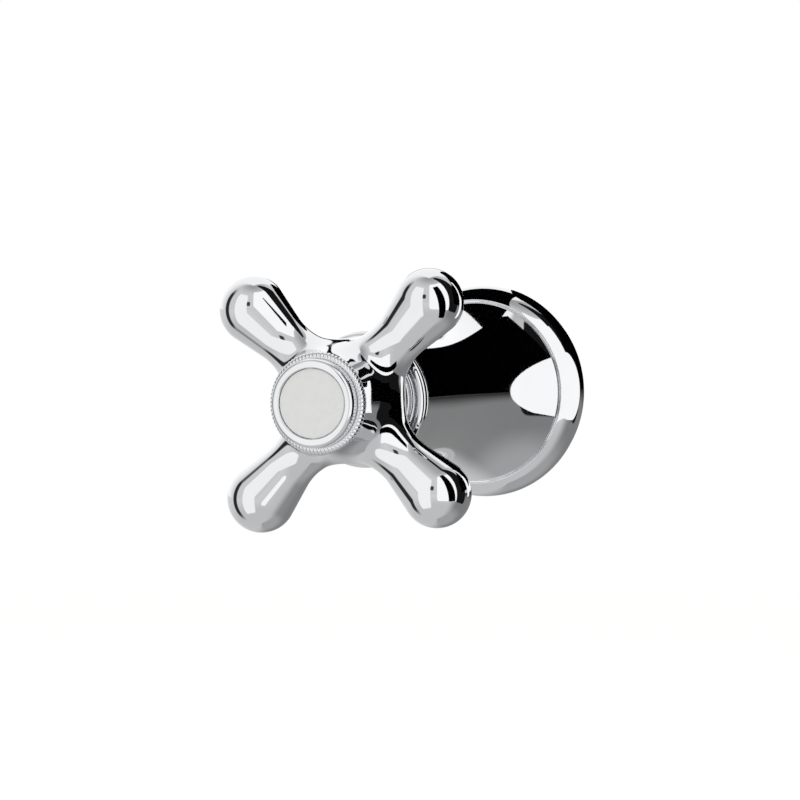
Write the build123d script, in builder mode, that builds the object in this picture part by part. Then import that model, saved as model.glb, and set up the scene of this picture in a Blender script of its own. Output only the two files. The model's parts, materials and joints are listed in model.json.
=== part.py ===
from build123d import *
import math
import os

# Concealed shut-off valve with a cross handle, a trumpet wall flange and a screw-down headwork.
# Millimetres, +Z up. The valve's axis lies along Y and the room is on the -Y side.
# The origin is the centre of the flange's back face, which lies on the wall (Y = 0).
# Places along the axis are given as distances out from the wall, negative inside the wall.

# Clearances
face_gap = 0.3
slip_gap = 0.1
running_gap = 0.05
fit_gap = 0.05
seal_gap = 0.03

# Trumpet wall flange
flange_radius = 25.0
flange_widest_out = 3.0
flange_foot_inset = 0.5
rim_inner_radius = 21.75
rim_height = 9.3
rim_shoulder_radius = 24.05
rim_shoulder_out = 7.2
flare_end_radius = 20.95
flare_end_out = 9.4
groove_floor_radius = 21.2
groove_depth = 0.6
bell_length = 79.2
bead_radius = 15.3
bead_front_radius = 13.7
bead_set_back = 1.7
bead_length = 3.6
throat_radius = 13.8
throat_slope = 1.5
flare_slope = 30.0
flange_wall = 1.2
neck_length = 9.0
rebate_radius = 22.9
rebate_inner_radius = 20.8

# Wall gasket
gasket_outer_radius = 22.6
gasket_inner_radius = 19.0
gasket_thickness = 2.5

# Collar nut at the neck
nut_radius = 13.2
nut_rim_length = 3.1
nut_skirt_radius = 12.5
nut_skirt_length = 1.1
nut_lip_radius = 7.4
nut_lip_thickness = 1.6
nut_edge_round = 0.6

# Cross handle
arm_count = 4
handle_turn = 2.5
handle_gap = 1.3
hub_back_height = 4.5
hub_front_height = 14.25
bulb_circle_radius = 29.9
bulb_radius = 7.65
arm_neck_radius = 5.75
bulb_to_neck = 11.5
arm_root_distance = 7.8
hub_front_radius = 10.8
hub_waist_radius = 11.7
hub_waist_height = 7.3
hub_middle_radius = 13.0
hub_heel_radius = 12.9
hub_heel_depth = 2.4
hub_back_radius = 12.2
back_relief_radius = 17.0
cap_pocket_radius = 8.8
cap_pocket_depth = 6.1
hub_web_thickness = 2.0

# Rope edged ring
ring_outer_radius = 11.4
ring_inner_radius = 8.95
ring_thickness = 2.3
ring_round = 1.1

# Index cap with its insert and seal
cap_radius = 9.85
cap_height = 2.8
cap_edge_round = 1.1
cap_skirt_radius = 8.7
cap_skirt_length = 6.6
cap_skirt_wall = 1.2
cap_top_thickness = 1.6
insert_radius = 7.75
insert_thickness = 1.2
insert_recess = 0.4
insert_edge_round = 0.25
cap_seal_section_radius = 0.4
cap_seal_drop = 3.5

# Handle screw and its washer
screw_head_radius = 4.2
screw_head_height = 2.6
screw_head_round = 0.8
screw_washer_radius = 4.8
screw_washer_thickness = 0.6
screw_shank_radius = 2.45
screw_length = 13.0
screw_hole_spare = 1.0
screw_socket_flats = 3.0
screw_socket_depth = 1.6

# Splined adapter pressed into the hub
adapter_radius = 6.5
adapter_rib_count = 12
adapter_rib_height = 0.45
adapter_rib_width = 1.2

# Splines of the spindle, its extension and the adapter
spline_teeth = 20
spline_root_radius = 3.6
spline_tip_radius = 4.0
spline_tooth_width = 0.62
spline_length = 9.4

# Spindle extension and its grub screw
rod_radius = 4.5
extension_socket_radius = 6.4
extension_socket_floor = 1.0
extension_shoulder_round = 1.2
grub_radius = 2.0
grub_length = 2.2
grub_set_back = 4.7
grub_socket_flats = 2.0
grub_socket_depth = 1.2

# Threaded sleeve with its O-ring, and the guide bush inside it
sleeve_radius = 11.4
sleeve_wall = 1.2
sleeve_seal_set_back = 3.8
sleeve_seal_section_radius = 0.4
bush_length = 9.0
bush_set_back = 2.6
bush_end_round = 0.5

# Valve body, one casting with two tube sockets
tube_radius = 7.5
socket_depth = 10.0
socket_wall = 1.65
socket_half_span = 18.0
tube_axis_depth = 14.0
barrel_radius = 12.5
barrel_tail = 9.4
barrel_front = 4.0
barrel_back_round = 2.5
spigot_length = 10.0
headwork_thread_radius = 8.33
partition_front_depth = 7.0
partition_thickness = 3.0
rear_chamber_radius = 6.6
rear_wall = 2.4
inlet_passage_radius = 5.0
inlet_passage_set_back = 1.0
channel_outer_radius = 10.9
channel_inner_radius = 7.9
channel_half_angle = 36.0
channel_lead = 5.0

# Seat insert
seat_bore_radius = 4.2
seat_thread_radius = 5.9
seat_rim_radius = 5.4
seat_rim_height = 1.4
seat_flange_radius = 7.0
seat_flange_thickness = 1.0

# Jumper, hexagonal so that it slides without turning, and the washer it carries
jumper_travel = 5.0
travel_spare = 0.7
closed_gap = 0.1
seat_washer_radius = 6.2
seat_washer_thickness = 2.6
jumper_flats = 11.6
jumper_foot_radius = 6.2
jumper_foot_thickness = 1.6
jumper_stem_length = 11.5
jumper_bore_floor = 0.5
washer_screw_radius = 1.5
washer_screw_head_radius = 3.0
washer_screw_head_height = 1.2
washer_screw_slot_width = 0.8
washer_screw_slot_depth = 0.5

# Headwork bonnet and its gasket
bonnet_gasket_thickness = 1.0
bonnet_flange_radius = 9.9
bonnet_flange_thickness = 1.4
bonnet_hex_flats = 17.0
bonnet_hex_length = 6.6
bonnet_neck_radius = 7.0
bonnet_journal_length = 14.3
bonnet_edge_round = 0.5

# Spindle with its seals, thrust washer and retaining ring
spindle_thread_radius = 4.0
spindle_collar_radius = 5.7
spindle_collar_thickness = 1.6
journal_radius = 4.9
journal_lead = 0.6
thrust_washer_thickness = 0.6
spindle_seal_section_radius = 0.75
spindle_seal_set_back = 3.8
spindle_seal_pitch = 4.5
spindle_seal_count = 2
circlip_thickness = 0.8
circlip_radius = 6.4
circlip_groove_depth = 0.7
circlip_opening = 70.0

# Places along the flange, the nut and the sleeve
bead_out = bell_length - bead_set_back
throat_out = bell_length - bead_length
neck_back = bell_length - neck_length
groove_floor_out = flare_end_out - groove_depth
flange_foot_radius = flange_radius - flange_foot_inset
nut_rim_back = bell_length + nut_skirt_length
nut_front = nut_rim_back + nut_rim_length
sleeve_front = nut_front - nut_lip_thickness - slip_gap
sleeve_bore_radius = sleeve_radius - sleeve_wall
neck_bore_radius = sleeve_radius + slip_gap
sleeve_seal_out = bell_length - sleeve_seal_set_back
sleeve_seal_radius = neck_bore_radius - seal_gap - sleeve_seal_section_radius
bush_back = sleeve_front - bush_set_back - bush_length

# Places along the handle
hub_back = nut_front + handle_gap
arm_plane = hub_back + hub_back_height
hub_front = arm_plane + hub_front_height
hub_waist_out = arm_plane + hub_waist_height
hub_heel_out = arm_plane - hub_heel_depth
ring_front = hub_front + ring_thickness
cap_front = ring_front + cap_height
cap_underside = cap_front - insert_recess - insert_thickness - cap_top_thickness
cap_seal_radius = cap_pocket_radius - seal_gap - cap_seal_section_radius
cap_pocket_floor = hub_front - cap_pocket_depth
adapter_front = cap_pocket_floor - hub_web_thickness
adapter_back = hub_back + face_gap
extension_front = adapter_front - face_gap
extension_spline_back = adapter_back - face_gap
screw_head_back = cap_pocket_floor + screw_washer_thickness

# The arc between two arms touches both necks, so its centre is as far from either arm's axis
arm_neck_distance = bulb_circle_radius - bulb_to_neck
web_arc_radius = arm_neck_distance - arm_neck_radius

# Places along the valve body and the headwork
spigot_front = barrel_front + spigot_length
spigot_radius = sleeve_bore_radius - fit_gap
socket_bore_radius = tube_radius + fit_gap
socket_radius = socket_bore_radius + socket_wall
barrel_back_depth = tube_axis_depth + barrel_tail
inlet_passage_depth = tube_axis_depth + inlet_passage_set_back
channel_front_depth = partition_front_depth - channel_lead
partition_back_depth = partition_front_depth + partition_thickness
seat_face = seat_flange_thickness + seat_rim_height - partition_front_depth
washer_back = seat_face + closed_gap
washer_front = washer_back + seat_washer_thickness
jumper_foot_front = washer_front + jumper_foot_thickness
jumper_bore_bottom = jumper_foot_front + jumper_bore_floor
jumper_front = jumper_foot_front + jumper_stem_length
jumper_bore_radius = spindle_thread_radius + slip_gap
washer_screw_tip = jumper_bore_bottom - face_gap
bonnet_nose = jumper_foot_front + jumper_travel + travel_spare
collar_back = jumper_front + jumper_travel + travel_spare
collar_front = collar_back + spindle_collar_thickness
bonnet_shoulder = collar_front + thrust_washer_thickness
broach_flats = jumper_flats + 2 * slip_gap
gasket_front = spigot_front + bonnet_gasket_thickness
bonnet_flange_front = gasket_front + bonnet_flange_thickness
bonnet_hex_front = bonnet_flange_front + bonnet_hex_length
bonnet_front = bonnet_shoulder + bonnet_journal_length
spindle_back = jumper_bore_bottom + jumper_travel + slip_gap
journal_bore_radius = journal_radius + running_gap
circlip_back = bonnet_front + slip_gap
circlip_groove_radius = journal_radius - circlip_groove_depth
journal_end = circlip_back + circlip_thickness + journal_lead
spindle_front = journal_end + spline_length
spindle_seal_out = bonnet_shoulder + spindle_seal_set_back
spindle_seal_radius = journal_bore_radius - seal_gap - spindle_seal_section_radius
extension_socket_back = journal_end + face_gap
extension_socket_front = spindle_front + extension_socket_floor
grub_out = extension_socket_back + grub_set_back
grub_height = extension_socket_radius - slip_gap


def station(out):
    """Plane square to the valve's axis, a distance out from the wall and facing the room."""
    return Plane(origin=(0, -out, 0), x_dir=(1, 0, 0), z_dir=(0, -1, 0))


# Half section of a turned piece: the first value is a radius, the second a distance out
half_section = Plane(origin=(0, 0, 0), x_dir=(1, 0, 0), z_dir=(0, 0, -1))
parts_folder = "parts"
os.makedirs(parts_folder, exist_ok=True)


def save(piece, label):
    """Name a finished piece and write it to its own file."""
    piece.part.label = label
    export_step(piece.part, os.path.join(parts_folder, label + ".step"))


def ring_groove(seal_radius, section_radius):
    """Width and floor radius of the groove that an O-ring lies in."""
    return 2 * (section_radius + seal_gap), seal_radius - section_radius - seal_gap


# Valve body: a barrel along the axis, two tube sockets across it and the passages inside
with BuildPart() as valve_body:
    with BuildSketch(station(-barrel_back_depth)):
        Circle(barrel_radius)
    extrude(amount=barrel_back_depth + barrel_front)
    fillet(valve_body.edges().group_by(Axis.Y)[-1], barrel_back_round)
    with BuildSketch(Plane.XY.offset(-socket_half_span)):
        with Locations((0, tube_axis_depth)):
            Circle(socket_radius)
    extrude(amount=2 * socket_half_span)
    with BuildSketch(station(barrel_front)):
        Circle(spigot_radius)
    extrude(amount=spigot_front - barrel_front)
    # Front chamber, threaded for the headwork
    with BuildSketch(station(spigot_front)):
        Circle(headwork_thread_radius + fit_gap)
    extrude(amount=-(spigot_front + partition_front_depth), mode=Mode.SUBTRACT)
    # Threaded hole for the seat, then the rear chamber
    with BuildSketch(station(-partition_front_depth)):
        Circle(seat_thread_radius + fit_gap)
    extrude(amount=-partition_thickness, mode=Mode.SUBTRACT)
    with BuildSketch(station(-partition_back_depth)):
        Circle(rear_chamber_radius)
    extrude(amount=-(barrel_back_depth - rear_wall - partition_back_depth), mode=Mode.SUBTRACT)
    # Kidney shaped channel from the front chamber to the upper socket
    with BuildSketch(station(-channel_front_depth)):
        with BuildLine():
            channel_start = 90 - channel_half_angle
            outer_arc = CenterArc((0, 0), channel_outer_radius, channel_start, 2 * channel_half_angle)
            inner_arc = CenterArc((0, 0), channel_inner_radius, channel_start, 2 * channel_half_angle)
            Line(outer_arc @ 0, inner_arc @ 0)
            Line(outer_arc @ 1, inner_arc @ 1)
        make_face()
    extrude(amount=-(tube_axis_depth - channel_front_depth), mode=Mode.SUBTRACT)
    # Tube sockets, and the passage from the lower one to the rear chamber
    for end in (-1, 1):
        with BuildSketch(Plane.XY.offset(end * socket_half_span)):
            with Locations((0, tube_axis_depth)):
                Circle(socket_bore_radius)
        extrude(amount=-end * socket_depth, mode=Mode.SUBTRACT)
    with BuildSketch(Plane.XY.offset(-socket_half_span)):
        with Locations((0, inlet_passage_depth)):
            Circle(inlet_passage_radius)
    extrude(amount=socket_half_span, mode=Mode.SUBTRACT)
save(valve_body, "valve_body")

# Seat insert screwed into the partition, with a raised rim for the washer
with BuildPart() as valve_seat:
    with BuildSketch(station(-partition_front_depth)):
        Circle(seat_thread_radius)
    extrude(amount=-partition_thickness)
    with BuildSketch(station(-partition_front_depth)):
        Circle(seat_flange_radius)
    extrude(amount=seat_flange_thickness)
    with BuildSketch(station(seat_flange_thickness - partition_front_depth)):
        Circle(seat_rim_radius)
    extrude(amount=seat_rim_height)
    with BuildSketch(station(seat_face)):
        Circle(seat_bore_radius)
    extrude(amount=-(seat_face + partition_back_depth), mode=Mode.SUBTRACT)
save(valve_seat, "valve_seat")

# Rubber washer that closes the seat
with BuildPart() as seat_washer:
    with BuildSketch(station(washer_back)):
        Circle(seat_washer_radius)
        Circle(washer_screw_radius + fit_gap, mode=Mode.SUBTRACT)
    extrude(amount=seat_washer_thickness)
save(seat_washer, "seat_washer")

# Jumper: round foot, hexagonal stem and the threaded bore that the spindle turns in
with BuildPart() as jumper:
    with BuildSketch(station(washer_front)):
        Circle(jumper_foot_radius)
    extrude(amount=jumper_foot_thickness)
    with BuildSketch(station(jumper_foot_front)):
        RegularPolygon(jumper_flats / 2, 6, major_radius=False)
    extrude(amount=jumper_front - jumper_foot_front)
    with BuildSketch(station(jumper_front)):
        Circle(jumper_bore_radius)
    extrude(amount=jumper_bore_bottom - jumper_front, mode=Mode.SUBTRACT)
    with BuildSketch(station(washer_front)):
        Circle(washer_screw_radius + fit_gap)
    extrude(amount=jumper_bore_bottom - washer_front, mode=Mode.SUBTRACT)
save(jumper, "jumper")

# Slotted screw that holds the washer on the jumper
with BuildPart() as washer_screw:
    with BuildSketch(station(washer_back)):
        Circle(washer_screw_head_radius)
    extrude(amount=-washer_screw_head_height)
    with BuildSketch(station(washer_back)):
        Circle(washer_screw_radius)
    extrude(amount=washer_screw_tip - washer_back)
    with BuildSketch(station(washer_back - washer_screw_head_height)):
        Rectangle(2 * washer_screw_head_radius, washer_screw_slot_width)
    extrude(amount=washer_screw_slot_depth, mode=Mode.SUBTRACT)
save(washer_screw, "washer_screw")

# Bonnet: threaded nose, flange, spanner hexagon and neck, broached for the jumper
with BuildPart() as bonnet:
    with BuildSketch(station(bonnet_nose)):
        Circle(headwork_thread_radius)
    extrude(amount=gasket_front - bonnet_nose)
    with BuildSketch(station(gasket_front)):
        Circle(bonnet_flange_radius)
    extrude(amount=bonnet_flange_thickness)
    with BuildSketch(station(bonnet_flange_front)):
        RegularPolygon(bonnet_hex_flats / 2, 6, major_radius=False)
    extrude(amount=bonnet_hex_front - bonnet_flange_front)
    with BuildSketch(station(bonnet_hex_front)):
        Circle(bonnet_neck_radius)
    extrude(amount=bonnet_front - bonnet_hex_front)
    chamfer(bonnet.edges().group_by(Axis.Y)[0], bonnet_edge_round)
    with BuildSketch(station(bonnet_nose)):
        RegularPolygon(broach_flats / 2, 6, major_radius=False)
    extrude(amount=bonnet_shoulder - bonnet_nose, mode=Mode.SUBTRACT)
    with BuildSketch(station(bonnet_shoulder)):
        Circle(journal_bore_radius)
    extrude(amount=bonnet_front - bonnet_shoulder, mode=Mode.SUBTRACT)
save(bonnet, "bonnet")

# Fibre gasket between the bonnet and the mouth of the body
with BuildPart() as bonnet_gasket:
    with BuildSketch(station(spigot_front)):
        Circle(bonnet_flange_radius)
        Circle(headwork_thread_radius + fit_gap, mode=Mode.SUBTRACT)
    extrude(amount=bonnet_gasket_thickness)
save(bonnet_gasket, "bonnet_gasket")


def spline_outline(clearance):
    """Draw a splined section in the current sketch, grown all round by a clearance."""
    Circle(spline_root_radius + clearance)
    tooth_middle = (spline_root_radius + spline_tip_radius) / 2
    tooth_height = spline_tip_radius - spline_root_radius + clearance
    with PolarLocations(tooth_middle, spline_teeth):
        Rectangle(2 * tooth_height, spline_tooth_width + 2 * clearance)
    Circle(spline_tip_radius + clearance, mode=Mode.INTERSECT)


# Spindle: screw thread, thrust collar, sealed journal and splined end
with BuildPart() as spindle:
    with BuildSketch(station(spindle_back)):
        Circle(spindle_thread_radius)
    extrude(amount=collar_back - spindle_back)
    with BuildSketch(station(collar_back)):
        Circle(spindle_collar_radius)
    extrude(amount=spindle_collar_thickness)
    with BuildSketch(station(collar_front)):
        Circle(journal_radius)
    extrude(amount=journal_end - collar_front)
    with BuildSketch(station(journal_end)):
        spline_outline(0)
    extrude(amount=spindle_front - journal_end)
    groove_width, groove_floor = ring_groove(spindle_seal_radius, spindle_seal_section_radius)
    for number in range(spindle_seal_count):
        seal_out = spindle_seal_out + number * spindle_seal_pitch
        with BuildSketch(station(seal_out - groove_width / 2)):
            Circle(journal_radius)
            Circle(groove_floor, mode=Mode.SUBTRACT)
        extrude(amount=groove_width, mode=Mode.SUBTRACT)
    with BuildSketch(station(circlip_back)):
        Circle(journal_radius)
        Circle(circlip_groove_radius, mode=Mode.SUBTRACT)
    extrude(amount=circlip_thickness, mode=Mode.SUBTRACT)
save(spindle, "spindle")

# The two O-rings in the spindle's grooves
with BuildPart() as spindle_o_rings:
    with BuildSketch(half_section):
        for number in range(spindle_seal_count):
            with Locations((spindle_seal_radius, spindle_seal_out + number * spindle_seal_pitch)):
                Circle(spindle_seal_section_radius)
    revolve(axis=Axis.Y)
save(spindle_o_rings, "spindle_o_rings")

# Slippery washer between the spindle's collar and the bonnet's shoulder
with BuildPart() as thrust_washer:
    with BuildSketch(station(collar_front)):
        Circle(spindle_collar_radius)
        Circle(journal_bore_radius, mode=Mode.SUBTRACT)
    extrude(amount=thrust_washer_thickness)
save(thrust_washer, "thrust_washer")

# Retaining ring that keeps the spindle in the bonnet
with BuildPart() as circlip:
    with BuildSketch(station(circlip_back)):
        with BuildLine():
            clip_arc = 360 - circlip_opening
            clip_start = circlip_opening / 2
            clip_outer = CenterArc((0, 0), circlip_radius, clip_start, clip_arc)
            clip_inner = CenterArc((0, 0), circlip_groove_radius + fit_gap, clip_start, clip_arc)
            Line(clip_outer @ 0, clip_inner @ 0)
            Line(clip_outer @ 1, clip_inner @ 1)
        make_face()
    extrude(amount=circlip_thickness)
save(circlip, "spindle_circlip")

# Extension that carries the handle's turn through the long neck to the spindle
with BuildPart() as spindle_extension:
    with BuildSketch(station(extension_socket_back)):
        Circle(extension_socket_radius)
    extrude(amount=extension_socket_front - extension_socket_back)
    fillet(spindle_extension.edges().group_by(Axis.Y)[0], extension_shoulder_round)
    with BuildSketch(station(extension_socket_front)):
        Circle(rod_radius)
    extrude(amount=extension_spline_back - extension_socket_front)
    with BuildSketch(station(extension_spline_back)):
        spline_outline(0)
    extrude(amount=extension_front - extension_spline_back)
    with BuildSketch(station(extension_socket_back)):
        spline_outline(fit_gap)
    extrude(amount=spindle_front + slip_gap - extension_socket_back, mode=Mode.SUBTRACT)
    with BuildSketch(station(extension_front)):
        Circle(screw_shank_radius + fit_gap)
    extrude(amount=-screw_length, mode=Mode.SUBTRACT)
    with BuildSketch(Plane.XY.offset(extension_socket_radius)):
        with Locations((0, -grub_out)):
            Circle(grub_radius + fit_gap)
    extrude(amount=-extension_socket_radius, mode=Mode.SUBTRACT)
save(spindle_extension, "spindle_extension")

# Grub screw that locks the extension on the spindle
with BuildPart() as extension_grub_screw:
    with BuildSketch(Plane.XY.offset(grub_height)):
        with Locations((0, -grub_out)):
            Circle(grub_radius)
    extrude(amount=-grub_length)
    with BuildSketch(Plane.XY.offset(grub_height)):
        with Locations((0, -grub_out)):
            RegularPolygon(grub_socket_flats / 2, 6, major_radius=False)
    extrude(amount=-grub_socket_depth, mode=Mode.SUBTRACT)
save(extension_grub_screw, "extension_grub_screw")

# Threaded sleeve that stands on the body and carries the flange and the collar nut
with BuildPart() as threaded_sleeve:
    with BuildSketch(station(barrel_front)):
        Circle(sleeve_radius)
        Circle(sleeve_bore_radius, mode=Mode.SUBTRACT)
    extrude(amount=sleeve_front - barrel_front)
    groove_width, groove_floor = ring_groove(sleeve_seal_radius, sleeve_seal_section_radius)
    with BuildSketch(station(sleeve_seal_out - groove_width / 2)):
        Circle(sleeve_radius)
        Circle(groove_floor, mode=Mode.SUBTRACT)
    extrude(amount=groove_width, mode=Mode.SUBTRACT)
save(threaded_sleeve, "threaded_sleeve")

# O-ring that centres the flange's neck on the sleeve
with BuildPart() as sleeve_o_ring:
    with BuildSketch(half_section):
        with Locations((sleeve_seal_radius, sleeve_seal_out)):
            Circle(sleeve_seal_section_radius)
    revolve(axis=Axis.Y)
save(sleeve_o_ring, "sleeve_o_ring")

# Bush that guides the extension in the sleeve
with BuildPart() as guide_bush:
    with BuildSketch(station(bush_back)):
        Circle(sleeve_bore_radius - fit_gap)
        Circle(rod_radius + running_gap, mode=Mode.SUBTRACT)
    extrude(amount=bush_length)
    chamfer(guide_bush.edges().group_by(SortBy.LENGTH)[-1], bush_end_round)
save(guide_bush, "guide_bush")

# Collar nut: rim, narrower skirt and a lip that covers the end of the sleeve
with BuildPart() as collar_nut:
    with BuildSketch(station(bell_length)):
        Circle(nut_skirt_radius)
    extrude(amount=nut_rim_back - bell_length)
    with BuildSketch(station(nut_rim_back)):
        Circle(nut_radius)
    extrude(amount=nut_front - nut_rim_back)
    fillet(collar_nut.edges().group_by(Axis.Y)[0], nut_edge_round)
    with BuildSketch(station(bell_length)):
        Circle(sleeve_radius + fit_gap)
    extrude(amount=nut_front - nut_lip_thickness - bell_length, mode=Mode.SUBTRACT)
    with BuildSketch(station(nut_front)):
        Circle(nut_lip_radius)
    extrude(amount=-nut_lip_thickness, mode=Mode.SUBTRACT)
save(collar_nut, "collar_nut")


def slope_direction(degrees):
    """Direction in the half section that leaves the axis at an angle while going to the wall."""
    return (math.sin(math.radians(degrees)), -math.cos(math.radians(degrees)))


# Trumpet flange: bead at the neck, flaring bell, groove and rounded rim, hollow behind
with BuildPart() as bell_flange:
    with BuildSketch(half_section):
        with BuildLine():
            flare_out = slope_direction(flare_slope)
            flare_normal = (-flare_out[1], flare_out[0])
            inner_flare_end = (
                flare_end_radius - flange_wall * flare_normal[0],
                flare_end_out - flange_wall * flare_normal[1],
            )
            neck_face = Line((neck_bore_radius, bell_length), (bead_front_radius, bell_length))
            TangentArc((bead_radius, bead_out), neck_face @ 1, tangent=(0, 1))
            bead = TangentArc((bead_radius, bead_out), (throat_radius, throat_out), tangent=(0, -1))
            flare = Spline(
                bead @ 1,
                (flare_end_radius, flare_end_out),
                tangents=[slope_direction(throat_slope), flare_out],
            )
            groove = Polyline(
                flare @ 1,
                (groove_floor_radius, groove_floor_out),
                (rim_inner_radius, groove_floor_out),
                (rim_inner_radius, rim_height),
            )
            rim_side = TangentArc(
                (flange_radius, flange_widest_out),
                (rim_shoulder_radius, rim_shoulder_out),
                tangent=(0, 1),
            )
            TangentArc(rim_side @ 1, groove @ 1, tangent=rim_side % 1)
            foot = Polyline(
                rim_side @ 0,
                (flange_foot_radius, 0),
                (rebate_radius, 0),
                (rebate_radius, gasket_thickness),
                (rebate_inner_radius, gasket_thickness),
                inner_flare_end,
            )
            inner_flare = Spline(
                foot @ 1,
                (throat_radius - flange_wall, neck_back - flange_wall),
                tangents=[(-flare_out[0], -flare_out[1]), (0, 1)],
            )
            Polyline(inner_flare @ 1, (neck_bore_radius, neck_back), neck_face @ 0)
        make_face()
    revolve(axis=Axis.Y)
save(bell_flange, "bell_flange")

# Soft gasket in the flange's rebate
with BuildPart() as wall_gasket:
    with BuildSketch(station(0)):
        Circle(gasket_outer_radius)
        Circle(gasket_inner_radius, mode=Mode.SUBTRACT)
    extrude(amount=gasket_thickness)
save(wall_gasket, "wall_gasket")


def adapter_outline(clearance):
    """Draw the ribbed outside of the adapter in the current sketch, grown by a clearance."""
    Circle(adapter_radius + clearance)
    with PolarLocations(adapter_radius, adapter_rib_count):
        Rectangle(2 * (adapter_rib_height + clearance), adapter_rib_width + 2 * clearance)


# Adapter between the extension's splines and the handle's hub
with BuildPart() as handle_adapter:
    with BuildSketch(station(adapter_back)):
        adapter_outline(0)
        with BuildSketch(station(adapter_back), mode=Mode.SUBTRACT):
            spline_outline(fit_gap)
    extrude(amount=adapter_front - adapter_back)
save(handle_adapter, "handle_adapter")


def arm_direction(number):
    """Direction of one arm of the cross in the plane of the arms."""
    angle = math.radians(handle_turn + 360 / arm_count * (number + 0.5))
    return (math.cos(angle), 0, math.sin(angle))


def build_arm(number):
    """One arm: a turned drop that flares into the hub, cut to its share of the cross."""
    direction = arm_direction(number)
    middle = (0, -arm_plane, 0)
    side = Plane(origin=middle, x_dir=direction, z_dir=(direction[2], 0, -direction[0]))
    root_angle = -math.degrees(math.acos((arm_root_distance - arm_neck_distance) / web_arc_radius))
    centres_angle = math.atan2(-arm_neck_distance, bulb_to_neck)
    centres_distance = math.hypot(arm_neck_distance, bulb_to_neck)
    taper_lean = math.acos((web_arc_radius + bulb_radius) / centres_distance)
    taper_angle = math.degrees(centres_angle - taper_lean)
    with BuildPart() as arm:
        with BuildSketch(side):
            with BuildLine():
                web = CenterArc(
                    (arm_neck_distance, arm_neck_distance),
                    web_arc_radius,
                    root_angle,
                    taper_angle - root_angle,
                )
                bulb = CenterArc((bulb_circle_radius, 0), bulb_radius, 0, taper_angle + 180)
                Line(web @ 1, bulb @ 1)
                Polyline(bulb @ 0, (arm_root_distance, 0), web @ 0)
            make_face()
        revolve(axis=Axis(middle, direction))
        reach = bulb_circle_radius + 2 * bulb_radius
        with BuildSketch(Plane(origin=middle, x_dir=direction, z_dir=(0, -1, 0))):
            Polygon((0, 0), (reach, -reach), (reach, reach), align=None)
        extrude(amount=reach, both=True, mode=Mode.INTERSECT)
    return arm.part


# Cross handle: turned hub with four drop shaped arms, bored for the cap, screw and adapter
with BuildPart() as cross_handle:
    with BuildSketch(half_section):
        with BuildLine():
            flank = ThreePointArc(
                (hub_front_radius, hub_front),
                (hub_waist_radius, hub_waist_out),
                (hub_middle_radius, arm_plane),
            )
            heel = ThreePointArc(
                flank @ 1, (hub_heel_radius, hub_heel_out), (hub_back_radius, hub_back)
            )
            Polyline(heel @ 1, (0, hub_back), (0, hub_front), flank @ 0)
        make_face()
    revolve(axis=Axis.Y)
    for number in range(arm_count):
        add(build_arm(number))
    with BuildSketch(station(hub_back)):
        Circle(back_relief_radius)
    extrude(amount=-bulb_circle_radius, mode=Mode.SUBTRACT)
    with BuildSketch(station(hub_front)):
        Circle(cap_pocket_radius)
    extrude(amount=cap_pocket_floor - hub_front, mode=Mode.SUBTRACT)
    with BuildSketch(station(cap_pocket_floor)):
        Circle(screw_shank_radius + slip_gap)
    extrude(amount=-hub_web_thickness, mode=Mode.SUBTRACT)
    with BuildSketch(station(hub_back)):
        adapter_outline(fit_gap)
    extrude(amount=adapter_front - hub_back, mode=Mode.SUBTRACT)
save(cross_handle, "cross_handle")

# Washer under the handle screw
with BuildPart() as handle_screw_washer:
    with BuildSketch(station(cap_pocket_floor)):
        Circle(screw_washer_radius)
        Circle(screw_shank_radius + slip_gap, mode=Mode.SUBTRACT)
    extrude(amount=screw_washer_thickness)
save(handle_screw_washer, "handle_screw_washer")

# Handle screw with a hexagon socket
with BuildPart() as handle_screw:
    with BuildSketch(station(screw_head_back)):
        Circle(screw_head_radius)
    extrude(amount=screw_head_height)
    fillet(handle_screw.edges().group_by(Axis.Y)[0], screw_head_round)
    with BuildSketch(station(screw_head_back)):
        Circle(screw_shank_radius)
    extrude(amount=-screw_length)
    with BuildSketch(station(screw_head_back + screw_head_height)):
        RegularPolygon(screw_socket_flats / 2, 6, major_radius=False)
    extrude(amount=-screw_socket_depth, mode=Mode.SUBTRACT)
save(handle_screw, "handle_screw")

# Ring between the hub and the cap, whose outer edge is roped
with BuildPart() as rope_ring:
    with BuildSketch(station(hub_front)):
        Circle(ring_outer_radius)
    extrude(amount=ring_thickness)
    fillet(rope_ring.edges(), ring_round)
    with BuildSketch(station(hub_front)):
        Circle(ring_inner_radius)
    extrude(amount=ring_thickness, mode=Mode.SUBTRACT)
save(rope_ring, "rope_ring")

# Index cap: rounded bezel over a skirt that pushes into the hub
with BuildPart() as index_cap:
    with BuildSketch(station(ring_front)):
        Circle(cap_radius)
    extrude(amount=cap_front - ring_front)
    fillet(index_cap.edges().group_by(Axis.Y)[0], cap_edge_round)
    with BuildSketch(station(cap_front)):
        Circle(insert_radius + fit_gap)
    extrude(amount=-(insert_thickness + insert_recess), mode=Mode.SUBTRACT)
    with BuildSketch(station(ring_front)):
        Circle(cap_skirt_radius)
    extrude(amount=-cap_skirt_length)
    with BuildSketch(station(ring_front - cap_skirt_length)):
        Circle(cap_skirt_radius - cap_skirt_wall)
    extrude(amount=cap_underside - ring_front + cap_skirt_length, mode=Mode.SUBTRACT)
    groove_width, groove_floor = ring_groove(cap_seal_radius, cap_seal_section_radius)
    with BuildSketch(station(ring_front - cap_seal_drop - groove_width / 2)):
        Circle(cap_skirt_radius)
        Circle(groove_floor, mode=Mode.SUBTRACT)
    extrude(amount=groove_width, mode=Mode.SUBTRACT)
save(index_cap, "index_cap")

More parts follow.
